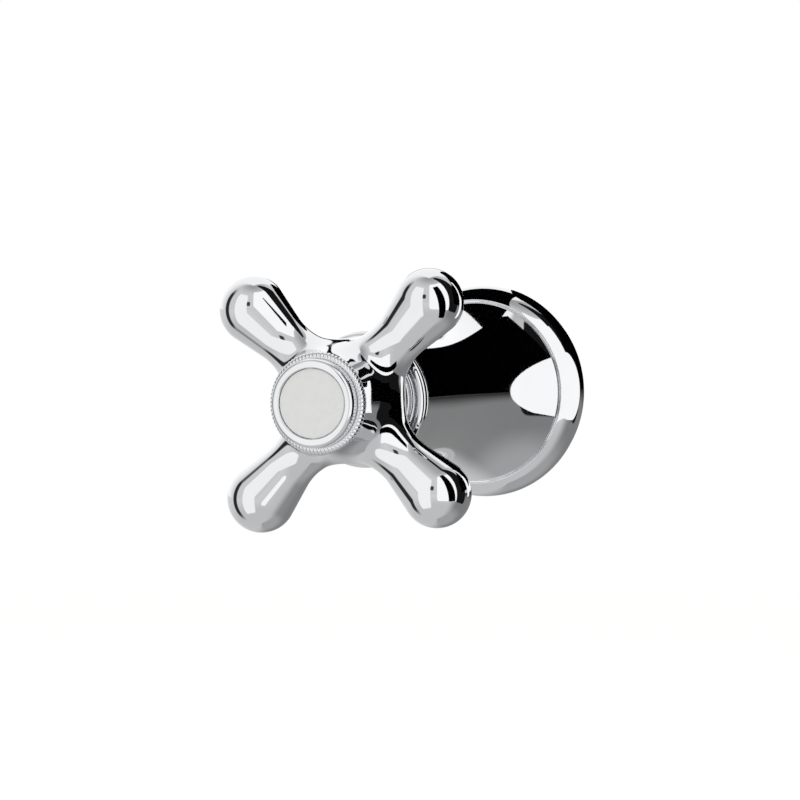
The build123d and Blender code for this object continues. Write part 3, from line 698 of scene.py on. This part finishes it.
# The maker of each of the record's slots
MAKERS = {
    "polished_chrome": polished_chrome,
    "satin_insert": satin_insert,
    "cast_brass": cast_brass,
    "machined_brass": turned_brass,
    "stainless_steel": lambda tint: turned_steel("stainless_steel", tint, 0.2, 0.32),
    "spring_steel": lambda tint: turned_steel("spring_steel", tint, 0.3, 0.42),
    # Moulded nitrile rubber: matt, with a fine even grain
    "black_rubber": lambda tint: moulded("black_rubber", tint, 0.5, 0.65, 5000.0, 0.04, 1.52),
    # Closed-cell foam: dull, with cells that can just be seen
    "grey_foam": lambda tint: moulded("grey_foam", tint, 0.85, 0.95, 1700.0, 0.3, 1.4),
    # Turned acetal: waxy and slightly cloudy
    "white_plastic": lambda tint: moulded("white_plastic", tint, 0.3, 0.42, 2600.0, 0.02, 1.48),
    # Vulcanised fibre: brick red, with short pressed fibres
    "fibre_gasket": lambda tint: moulded("fibre_gasket", tint, 0.55, 0.7, 2400.0, 0.06, 1.5),
}
FINISH_CACHE = {}


def finish_for(slot):
    """The material of one of the record's slots, made once."""
    if slot not in FINISH_CACHE:
        FINISH_CACHE[slot] = MAKERS[slot](getattr(bpy.context.scene.valve_finishes, slot))
    return FINISH_CACHE[slot]


# Pieces


class VALVE_OT_cross_handle(bpy.types.Operator):
    """Build the cross handle: a turned hub with four blended drop arms, cut and bored"""

    bl_idname = "valve.cross_handle"
    bl_label = "Cross handle"

    def execute(self, context):
        sizes = context.scene.valve_handle
        span = sizes.bulb_circle + sizes.bulb_radius + MM
        depth = sizes.hub_front - sizes.arm_plane + SPARE_FRONT + MM
        corners, quads = wrap(
            (-span, -sizes.arm_plane - depth, -span),
            (span, -sizes.arm_plane + SPARE_BACK + MM, span),
            sizes.mesh_step, lambda points: cross_distance(points, sizes),
        )
        corners = settled(corners, quads, sizes)
        mesh = bpy.data.meshes.new("handle_skin")
        mesh.from_pydata(corners.tolist(), [], quads.tolist())
        skin = bpy.data.objects.new("handle_skin", tidied(mesh))
        context.scene.collection.objects.link(skin)
        cutter = bpy.data.objects.new("handle_cutter", self.bores(sizes))
        context.scene.collection.objects.link(cutter)
        cut = skin.modifiers.new("Bores", "BOOLEAN")
        cut.operation, cut.solver, cut.object = "DIFFERENCE", "EXACT", cutter
        ready = skin.evaluated_get(context.evaluated_depsgraph_get())
        mesh = bpy.data.meshes.new_from_object(ready)
        for used in (skin, cutter):
            bpy.data.objects.remove(used)
        if len(mesh.polygons) < len(quads) / 2:
            raise RuntimeError("the handle's bores were not cut")
        tidied(mesh, crease=25.0)
        shade_from_slope(mesh, sizes)
        finished("chrome_cross_handle", mesh, "cross_handle", "polished_chrome", "handle")
        return {"FINISHED"}

    def bores(self, sizes):
        """The one turned shape that cuts the face, pocket, screw hole, adapter bore and relief."""
        pocket_floor = sizes.hub_front - sizes.pocket_depth
        adapter_end = pocket_floor - sizes.web_thickness
        edge = sizes.front_radius
        round_start = sizes.hub_front - sizes.edge_round
        clear_of_edge, clear_of_face = edge + 3 * MM, sizes.hub_front + 4 * MM
        outline = [
            (0, sizes.hub_back - SPARE_BACK), (sizes.relief_radius, sizes.hub_back - SPARE_BACK),
            (sizes.relief_radius, sizes.hub_back), (sizes.adapter_hole_radius, sizes.hub_back),
            (sizes.adapter_hole_radius, adapter_end), (sizes.screw_hole_radius, adapter_end),
            (sizes.screw_hole_radius, pocket_floor), (sizes.pocket_radius, pocket_floor),
            (sizes.pocket_radius, sizes.hub_front),
            *arc((edge - sizes.edge_round, sizes.hub_front), (1, 0),
                 (edge + SUPPORT, round_start), 6),
            (clear_of_edge, round_start), (clear_of_edge, clear_of_face), (0, clear_of_face),
        ]
        return lathe(outline)


class VALVE_OT_bell_flange(bpy.types.Operator):
    """Build the trumpet wall flange: bead, flare, groove and rounded rim, hollow behind"""

    bl_idname = "valve.bell_flange"
    bl_label = "Bell flange"

    def execute(self, context):
        sizes = context.scene.valve_flange
        bead = (sizes.bead_radius, sizes.bell_length - sizes.bead_set_back)
        throat = (sizes.throat_radius, sizes.bell_length - sizes.bead_length)
        flare_end = (sizes.flare_radius, sizes.flare_out)
        leave = (math.sin(sizes.throat_slope), -math.cos(sizes.throat_slope))
        arrive = (math.sin(sizes.flare_slope), -math.cos(sizes.flare_slope))
        inner_end = (flare_end[0] + sizes.wall * arrive[1], flare_end[1] - sizes.wall * arrive[0])
        neck_back = sizes.bell_length - sizes.neck_length
        inner_start = (sizes.throat_radius - sizes.wall, neck_back - sizes.wall)
        widest = (sizes.rim_radius, sizes.widest_out)
        face = arc(bead, (0, 1), (sizes.bead_front_radius, sizes.bell_length), 14)
        rim_edge = (sizes.rim_inner_radius, sizes.rim_height)
        rim = curve(rim_edge, (math.cos(sizes.rim_slope), -math.sin(sizes.rim_slope)),
                    widest, (0, -1), 40)
        groove_out = sizes.flare_out - sizes.groove_depth
        soft = sizes.edge_round
        flare = curve(throat, leave, flare_end, arrive)
        groove = rounded([
            (*flare[-2], 0), (*flare_end, soft), (sizes.groove_radius, groove_out, soft),
            (sizes.rim_inner_radius, groove_out, soft),
            (*rim_edge, soft), (*rim[2], 0),
        ])[1:-1]
        foot = rounded([
            (*widest, 0), (sizes.foot_radius, 0, soft), (sizes.rebate_radius, 0, soft),
            (sizes.rebate_radius, sizes.rebate_depth, 0),
            (sizes.rebate_inner_radius, sizes.rebate_depth, soft), (*inner_end, 0),
        ])[1:-1]
        outline = [
            (sizes.neck_bore, sizes.bell_length),
            *face[::-1],
            *arc(bead, (0, -1), throat, 14)[1:],
            *flare[1:-1],
            *groove,
            *rim[2:],
            *foot,
            *curve(inner_end, (-arrive[0], -arrive[1]), inner_start, (0, 1), 48),
            (sizes.neck_bore, neck_back),
        ]
        finished("chrome_bell_flange", lathe(outline), "bell_flange", "polished_chrome", "valve")
        return {"FINISHED"}


class VALVE_OT_collar_nut(bpy.types.Operator):
    """Build the collar nut: rim, skirt and front lip with rounded edges"""

    bl_idname = "valve.collar_nut"
    bl_label = "Collar nut"

    def execute(self, context):
        sizes = context.scene.valve_nut
        rim_back = sizes.front - sizes.rim_length
        outline = rounded([
            (sizes.bore_radius, sizes.back, sizes.skirt_round),
            (sizes.skirt_radius, sizes.back, sizes.skirt_round),
            (sizes.skirt_radius, rim_back, sizes.skirt_round / 2),
            (sizes.rim_radius, rim_back, sizes.edge_round / 2),
            (sizes.rim_radius, sizes.front, sizes.edge_round),
            (sizes.lip_radius, sizes.front, sizes.lip_round),
            (sizes.lip_radius, sizes.front - sizes.lip_thickness, 0),
            (sizes.bore_radius, sizes.front - sizes.lip_thickness, 0),
        ])
        finished("chrome_collar_nut", lathe(outline), "collar_nut", "polished_chrome", "valve")
        return {"FINISHED"}


class VALVE_OT_rope_ring(bpy.types.Operator):
    """Build the rope edged ring: slanted strands laid round a ring by a node tree"""

    bl_idname = "valve.rope_ring"
    bl_label = "Rope ring"

    def execute(self, context):
        sizes = context.scene.valve_rope_ring
        tree = self.strand_tree()
        values = {
            "Middle Radius": (sizes.inner_radius + sizes.outer_radius) / 2,
            "Half Width": (sizes.outer_radius - sizes.inner_radius) / 2,
            "Half Thickness": (sizes.front - sizes.back) / 2,
            "Out": (sizes.front + sizes.back) / 2,
            "Strands": float(sizes.strands),
            "Columns": sizes.steps * sizes.strands + 1,
            "Lay": sizes.lay,
            "Groove": sizes.groove,
            "Crown": sizes.crown,
            "Finish": finish_for("polished_chrome"),
        }
        carrier = bpy.data.objects.new("rope_carrier", bpy.data.meshes.new("rope_carrier"))
        context.scene.collection.objects.link(carrier)
        modifier = carrier.modifiers.new("Strands", "NODES")
        modifier.node_group = tree
        for item in tree.interface.items_tree:
            if item.item_type == "SOCKET" and item.name in values:
                modifier[item.identifier] = values[item.name]
        context.view_layer.update()
        ready = carrier.evaluated_get(context.evaluated_depsgraph_get())
        mesh = bpy.data.meshes.new_from_object(ready)
        bpy.data.objects.remove(carrier)
        if not mesh.polygons:
            raise RuntimeError("the rope ring's node tree made no faces")
        finished("chrome_rope_ring", tidied(mesh, crease=60.0), "rope_ring", "polished_chrome",
                 "handle")
        return {"FINISHED"}

    def strand_tree(self):
        """A ring whose rounded section is grooved along slanted lines, like laid rope."""
        tree = bpy.data.node_groups.new("rope_ring", "GeometryNodeTree")
        for name in ("Middle Radius", "Half Width", "Half Thickness", "Out", "Strands", "Lay",
                     "Groove", "Crown"):
            tree.interface.new_socket(name, in_out="INPUT", socket_type="NodeSocketFloat")
        tree.interface.new_socket("Columns", in_out="INPUT", socket_type="NodeSocketInt")
        tree.interface.new_socket("Finish", in_out="INPUT", socket_type="NodeSocketMaterial")
        tree.interface.new_socket("Mesh", in_out="OUTPUT", socket_type="NodeSocketGeometry")
        given = add_node(tree, "NodeGroupInput").outputs
        grid = add_node(
            tree, "GeometryNodeMeshGrid",
            {"Size X": 1.0, "Size Y": 1.0, "Vertices X": given["Columns"], "Vertices Y": 33},
        )
        place = add_node(
            tree, "ShaderNodeSeparateXYZ",
            {0: add_node(tree, "GeometryNodeInputPosition").outputs[0]},
        ).outputs
        turn = formula(tree, ("MULTIPLY", place["X"], 2 * math.pi))
        section = formula(tree, ("MULTIPLY", place["Y"], 2 * math.pi))
        # Between two strands the section is pressed in; the outer side carries the full groove
        phase = ("MULTIPLY_ADD", given["Lay"], section, ("MULTIPLY", turn, given["Strands"]))
        crown = ("POWER", ("ABSOLUTE", ("COSINE", ("MULTIPLY", phase, 0.5))), given["Crown"])
        outer = ("RAMP", ("COSINE", section), -0.75, 0.1, 0.0, 1.0)
        depth = ("MULTIPLY", ("SUBTRACT", 1.0, crown), given["Groove"])
        press = formula(tree, ("MULTIPLY", depth, outer))
        width = ("SUBTRACT", given["Half Width"], press)
        thickness = ("SUBTRACT", given["Half Thickness"], press)
        radius = formula(
            tree, ("MULTIPLY_ADD", ("COSINE", section), width, given["Middle Radius"])
        )
        height = ("MULTIPLY_ADD", ("SINE", section), thickness, given["Out"])
        spot = add_node(
            tree, "ShaderNodeCombineXYZ",
            {
                "X": formula(tree, ("MULTIPLY", radius, ("COSINE", turn))),
                "Y": formula(tree, ("MULTIPLY", height, -1.0)),
                "Z": formula(tree, ("MULTIPLY", radius, ("SINE", turn))),
            },
        )
        placed = add_node(
            tree, "GeometryNodeSetPosition",
            {"Geometry": grid.outputs["Mesh"], "Position": spot.outputs[0]},
        )
        welded = add_node(
            tree, "GeometryNodeMergeByDistance",
            {"Geometry": placed.outputs[0], "Distance": MM / 1000},
        )
        real = add_node(tree, "GeometryNodeRealizeInstances", {"Geometry": welded.outputs[0]})
        dressed = add_node(
            tree, "GeometryNodeSetMaterial",
            {"Geometry": real.outputs[0], "Material": given["Finish"]},
        )
        add_node(tree, "NodeGroupOutput", {0: dressed.outputs[0]})
        return tree


class VALVE_OT_index_cap(bpy.types.Operator):
    """Build the index cap: rounded bezel with its skirt, and the pale insert in it"""

    bl_idname = "valve.index_cap"
    bl_label = "Index cap and insert"

    def execute(self, context):
        sizes = context.scene.valve_cap
        inside = sizes.skirt_radius - sizes.skirt_wall
        underside = sizes.insert_back - sizes.top_thickness
        recess = sizes.insert_radius + sizes.insert_gap
        groove_front = sizes.seat - sizes.seal_drop + sizes.groove_width / 2
        outline = rounded([
            (0, sizes.insert_back, 0),
            (recess, sizes.insert_back, 0),
            (recess, sizes.front, sizes.inner_round),
            (sizes.radius, sizes.front, sizes.edge_round),
            (sizes.radius, sizes.seat, sizes.seat_round),
            (sizes.skirt_radius, sizes.seat, 0),
            (sizes.skirt_radius, groove_front, 0),
            (sizes.groove_floor, groove_front, 0),
            (sizes.groove_floor, groove_front - sizes.groove_width, 0),
            (sizes.skirt_radius, groove_front - sizes.groove_width, 0),
            (sizes.skirt_radius, sizes.back, sizes.lead_in),
            (inside, sizes.back, sizes.seat_round),
            (inside, underside, 0),
            (0, underside, 0),
        ])
        finished("chrome_index_cap", lathe(outline), "index_cap", "polished_chrome", "handle")
        disc = rounded([
            (0, sizes.insert_front, 0),
            (sizes.insert_radius, sizes.insert_front, sizes.insert_round),
            (sizes.insert_radius, sizes.insert_back, sizes.insert_gap),
            (0, sizes.insert_back, 0),
        ])
        finished("satin_cap_insert", lathe(disc), "cap_insert", "satin_insert", "handle")
        return {"FINISHED"}


class VALVE_OT_inner_pieces(bpy.types.Operator):
    """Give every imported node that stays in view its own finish"""

    bl_idname = "valve.inner_pieces"
    bl_label = "Finishes of the inner pieces"

    def execute(self, context):
        slots = {part["node"]: part["material_slot"] for part in frame["record"]["subparts"]}
        for name, node in frame["nodes"].items():
            finish = finish_for(slots[name.split(".")[0]])
            for slot in node.material_slots:
                slot.material = finish
        return {"FINISHED"}


# Studio


# Cards and flags far off, in degrees: brightness, azimuth, elevation, half width, half height,
# power of the corners and softness of the edge
FAR_CARDS = {
    "right softbox": (1.3, 57.0, 20.0, 35.5, 42.0, 12.0, 0.01),
    "right black flag": (0.01, 111.0, 29.0, 19.5, 52.0, 8.0, 0.02),
    "left softbox": (1.2, -23.0, 2.0, 22.0, 47.0, 8.0, 0.06),
    "left black flag": (0.03, -79.0, 0.0, 9.0, 46.0, 6.0, 0.25),
    "camera": (0.05, 4.0, 20.0, 6.0, 7.0, 4.0, 0.2),
}
# Cards and flags close to the valve: brightness, and corners in millimetres
NEAR_CARDS = {
    "side_card": (1.3, [(80, y, z) for y, z in (
        (-20, -31), (-20, 100), (2, 100), *arc((2, 43), (1, 0), (42, 0)),
        *arc((42, 0), (0, -1), (20, -31))[1:],
    )]),
    "front_flag": (0.0, [
        (73.5, -118, -43), (86.5, -95.6, -43), (72.5, -119.9, 99), (59.5, -142.4, 99),
    ]),
    "back_flag": (0.0, [
        (-11, 60, 0), (-11, 60, 46), (0, 60, 109), (10, 60, 153), (30, 60, 185),
        (400, 60, 185), (400, 60, 0),
    ]),
    "overhead_flag": (0.0, [(-40, -26, 52), (10, -26, 52), (10, 16, 52), (-40, 16, 52)]),
}
# Soft changes in the studio: the degrees from which and to which each runs, and its two ends
CHANGES = {
    "room darkens overhead": (50.0, 85.0, 0.80, 0.45),
    "backdrop starts": (150.0, 160.0, 0.0, 1.0),
    "backdrop ends": (235.0, 280.0, 1.0, 0.0),
    "table darkens far off": (-10.0, 1.0, 0.27, 0.012),
    "table is pale below": (-30.0, -60.0, 0.0, 0.45),
    "table in front": (-40.0, 0.0, 0.70, 0.85),
    "grey table starts": (60.0, 101.0, 0.0, 1.0),
    "grey table ends": (192.0, 215.0, 1.0, 0.0),
    "horizon": (-0.5, 0.5, 0.0, 1.0),
}
# Sides of the round floor
FLOOR_SIDES = 96
BACKDROP_LIGHT = 1.2
TABLE_BELOW_LIGHT = 0.7
# Light from straight below and straight above that dull surfaces get
EVEN_LIGHT = (0.72, 0.9)


class VALVE_OT_studio(bpy.types.Operator):
    """Set up the pale floor, the soft lights and the camera"""

    bl_idname = "valve.studio"
    bl_label = "Studio"
    CARD_INPUTS = ("Brightness", "At Azimuth", "At Elevation", "Half Width", "Half Height",
                   "Corner", "Softness")

    def execute(self, context):
        settings = context.scene.valve_studio
        self.floor(context, settings)
        self.world(context)
        self.near_cards(context)
        self.lamp(context, settings)
        self.camera(context, settings)
        context.scene.view_settings.view_transform = "Standard"
        return {"FINISHED"}

    def floor(self, context, settings):
        """A plain round floor, white to the camera but still in the valve's shadow."""
        mesh = bpy.data.meshes.new("floor")
        work = bmesh.new()
        bmesh.ops.create_circle(
            work, cap_ends=True, segments=FLOOR_SIDES, radius=settings.floor_radius
        )
        bmesh.ops.translate(work, verts=work.verts, vec=(0, 0, -settings.floor_drop))
        work.to_mesh(mesh)
        work.free()
        finish, tree, shader, _ = new_finish("pale_floor", roughness=0.9)
        shader.inputs["Base Color"].default_value = (*settings.floor_colour, 1)
        shader.inputs["Emission Color"].default_value = (1, 1, 1, 1)
        seen = add_node(tree, "ShaderNodeLightPath").outputs
        lift = formula(tree, ("MULTIPLY", seen["Is Camera Ray"], settings.floor_lift))
        tree.links.new(lift, shader.inputs["Emission Strength"])
        mesh.materials.append(finish)
        floor = bpy.data.objects.new("floor", mesh)
        context.scene.collection.objects.link(floor)
        floor.visible_glossy = False

    def card_tree(self):
        """A card or flag of the studio: a rounded patch of brightness at a given direction."""
        tree = bpy.data.node_groups.new("studio_card", "ShaderNodeTree")
        for name in ("Azimuth", "Elevation", "Behind", *self.CARD_INPUTS):
            tree.interface.new_socket(name, in_out="INPUT", socket_type="NodeSocketFloat")
        tree.interface.new_socket("Light", in_out="OUTPUT", socket_type="NodeSocketFloat")
        given = add_node(tree, "NodeGroupInput").outputs
        rise = ("SUBTRACT", given["Elevation"], given["At Elevation"])
        aside = ("WRAP", ("SUBTRACT", given["Azimuth"], given["At Azimuth"]), 180.0, -180.0)
        across = ("POWER", ("ABSOLUTE", ("DIVIDE", aside, given["Half Width"])), given["Corner"])
        upright = ("POWER", ("ABSOLUTE", ("DIVIDE", rise, given["Half Height"])), given["Corner"])
        reach = ("POWER", ("ADD", across, upright), ("DIVIDE", 1.0, given["Corner"]))
        cover = ("RAMP", reach, ("ADD", 1.0, given["Softness"]),
                 ("SUBTRACT", 1.0, given["Softness"]), 0.0, 1.0)
        light = formula(tree, ("MIX", cover, given["Behind"], given["Brightness"]))
        add_node(tree, "NodeGroupOutput", {0: light})
        return tree

    def world(self, context):
        """White to the camera, even light for dull surfaces, cards and flags for bright metal."""
        world = bpy.data.worlds.new("studio")
        context.scene.world = world
        world.use_nodes = True
        tree = world.node_tree
        tree.nodes.clear()
        way = add_node(tree, "ShaderNodeSeparateXYZ",
                       {0: add_node(tree, "ShaderNodeTexCoord").outputs["Generated"]}).outputs
        azimuth = formula(tree, ("DEGREES", ("ARCTAN2", way["X"], ("MULTIPLY", way["Y"], -1.0))))
        elevation = formula(tree, ("DEGREES", ("ARCSINE", way["Z"])))
        turned = formula(tree, ("WRAP", azimuth, 300.0, -60.0))

        def change(value, name):
            return ("RAMP", value, *CHANGES[name])

        # The bright room in front of the valve, and the white backdrop behind it
        behind = ("MULTIPLY", change(turned, "backdrop starts"), change(turned, "backdrop ends"))
        above = ("MIX", behind, change(elevation, "room darkens overhead"), BACKDROP_LIGHT)
        # The table top: grey and darkest at its far edge on the right, pale in front and left
        grey = ("MULTIPLY", change(turned, "grey table starts"), change(turned, "grey table ends"))
        far_table = ("MIX", change(elevation, "table is pale below"),
                     change(elevation, "table darkens far off"), TABLE_BELOW_LIGHT)
        below = ("MIX", grey, change(elevation, "table in front"), far_table)
        light = formula(tree, ("MIX", change(elevation, "horizon"), below, above))
        card = self.card_tree()
        for values in FAR_CARDS.values():
            node = add_node(tree, "ShaderNodeGroup", node_tree=card)
            for name, value in (("Azimuth", azimuth), ("Elevation", elevation),
                                ("Behind", light)):
                tree.links.new(value, node.inputs[name])
            for name, value in zip(self.CARD_INPUTS, values):
                node.inputs[name].default_value = value
            light = node.outputs[0]
        seen = add_node(tree, "ShaderNodeLightPath").outputs
        mirrored = ("MAXIMUM", seen["Is Glossy Ray"], seen["Is Transmission Ray"])
        even = ("RAMP", way["Z"], -1.0, 1.0, *EVEN_LIGHT)
        strength = ("MIX", seen["Is Camera Ray"], ("MIX", mirrored, even, light), 1.0)
        background = add_node(
            tree, "ShaderNodeBackground",
            {"Color": (1, 1, 1, 1), "Strength": formula(tree, strength)},
        )
        add_node(tree, "ShaderNodeOutputWorld", {"Surface": background.outputs[0]})

    def near_cards(self, context):
        """Cards and flags close to the valve, which only its bright metal mirrors."""
        for name, (brightness, corners) in NEAR_CARDS.items():
            finish, _, shader, _ = new_finish(name, roughness=0.9, emission_strength=brightness)
            shader.inputs["Base Color"].default_value = (0, 0, 0, 1)
            shader.inputs["Specular IOR Level"].default_value = 0
            shader.inputs["Emission Color"].default_value = (1, 1, 1, 1)
            mesh = bpy.data.meshes.new(name)
            mesh.from_pydata([Vector(corner) * MM for corner in corners], [],
                             [tuple(range(len(corners)))])
            mesh.materials.append(finish)
            card = bpy.data.objects.new(name, mesh)
            context.scene.collection.objects.link(card)
            card.visible_camera = card.visible_diffuse = card.visible_shadow = False
            card.visible_transmission = card.visible_volume_scatter = False

    def lamp(self, context, settings):
        """One large soft light above and in front, for the shadow on the floor."""
        data = bpy.data.lights.new("overhead_softbox", "AREA")
        data.shape, data.size, data.size_y = "RECTANGLE", *settings.lamp_size
        data.energy = settings.lamp_power
        lamp = bpy.data.objects.new("overhead_softbox", data)
        lamp.location = settings.lamp_place
        lamp.rotation_mode = "QUATERNION"
        toward = Vector(settings.aim) - lamp.location
        lamp.rotation_quaternion = toward.to_track_quat("-Z", "Y")
        lamp.visible_glossy = False
        context.scene.collection.objects.link(lamp)

    def camera(self, context, settings):
        """The photograph's view of the valve."""
        turn, rise = settings.azimuth, settings.elevation
        back = Vector((math.sin(turn) * math.cos(rise), -math.cos(turn) * math.cos(rise),
                       math.sin(rise)))
        data = bpy.data.cameras.new("camera")
        data.lens, data.sensor_width = settings.lens, 36.0
        data.clip_start, data.clip_end = 0.05, 50.0
        camera = bpy.data.objects.new("camera", data)
        camera.location = Vector(settings.aim) + back * settings.distance
        camera.rotation_mode = "QUATERNION"
        camera.rotation_quaternion = (-back).to_track_quat("-Z", "Y")
        context.scene.collection.objects.link(camera)
        context.scene.camera = camera


# Panel and registration


SETTINGS = {
    "valve_handle": HandleSizes,
    "valve_flange": FlangeSizes,
    "valve_nut": NutSizes,
    "valve_rope_ring": RopeRingSizes,
    "valve_cap": CapSizes,
    "valve_finishes": Finishes,
    "valve_studio": StudioSettings,
}
OPERATORS = (
    VALVE_OT_inner_pieces,
    VALVE_OT_bell_flange,
    VALVE_OT_collar_nut,
    VALVE_OT_cross_handle,
    VALVE_OT_rope_ring,
    VALVE_OT_index_cap,
    VALVE_OT_studio,
)


class VALVE_PT_pieces(bpy.types.Panel):
    """Lists the valve's pieces and their sizes"""

    bl_idname = "VALVE_PT_pieces"
    bl_label = "Shut-off valve"
    bl_space_type = "VIEW_3D"
    bl_region_type = "UI"
    bl_category = "Valve"

    def draw(self, context):
        for operator in OPERATORS:
            self.layout.operator(operator.bl_idname)
        for name in SETTINGS:
            box = self.layout.box()
            box.label(text=name.replace("_", " ").capitalize())
            for key in SETTINGS[name].__annotations__:
                box.prop(getattr(context.scene, name), key)


def register():
    """Register the settings, the operators and the panel."""
    for name, group in SETTINGS.items():
        bpy.utils.register_class(group)
        setattr(bpy.types.Scene, name, bpy.props.PointerProperty(type=group))
    for operator in OPERATORS:
        bpy.utils.register_class(operator)
    bpy.utils.register_class(VALVE_PT_pieces)


def unregister():
    """Undo what register does."""
    bpy.utils.unregister_class(VALVE_PT_pieces)
    for operator in reversed(OPERATORS):
        bpy.utils.unregister_class(operator)
    for name, group in SETTINGS.items():
        delattr(bpy.types.Scene, name)
        bpy.utils.unregister_class(group)


def main():
    """Build everything in order."""
    register()
    for operator in OPERATORS:
        group, call = operator.bl_idname.split(".")
        getattr(getattr(bpy.ops, group), call)()


if __name__ == "__main__":
    main()
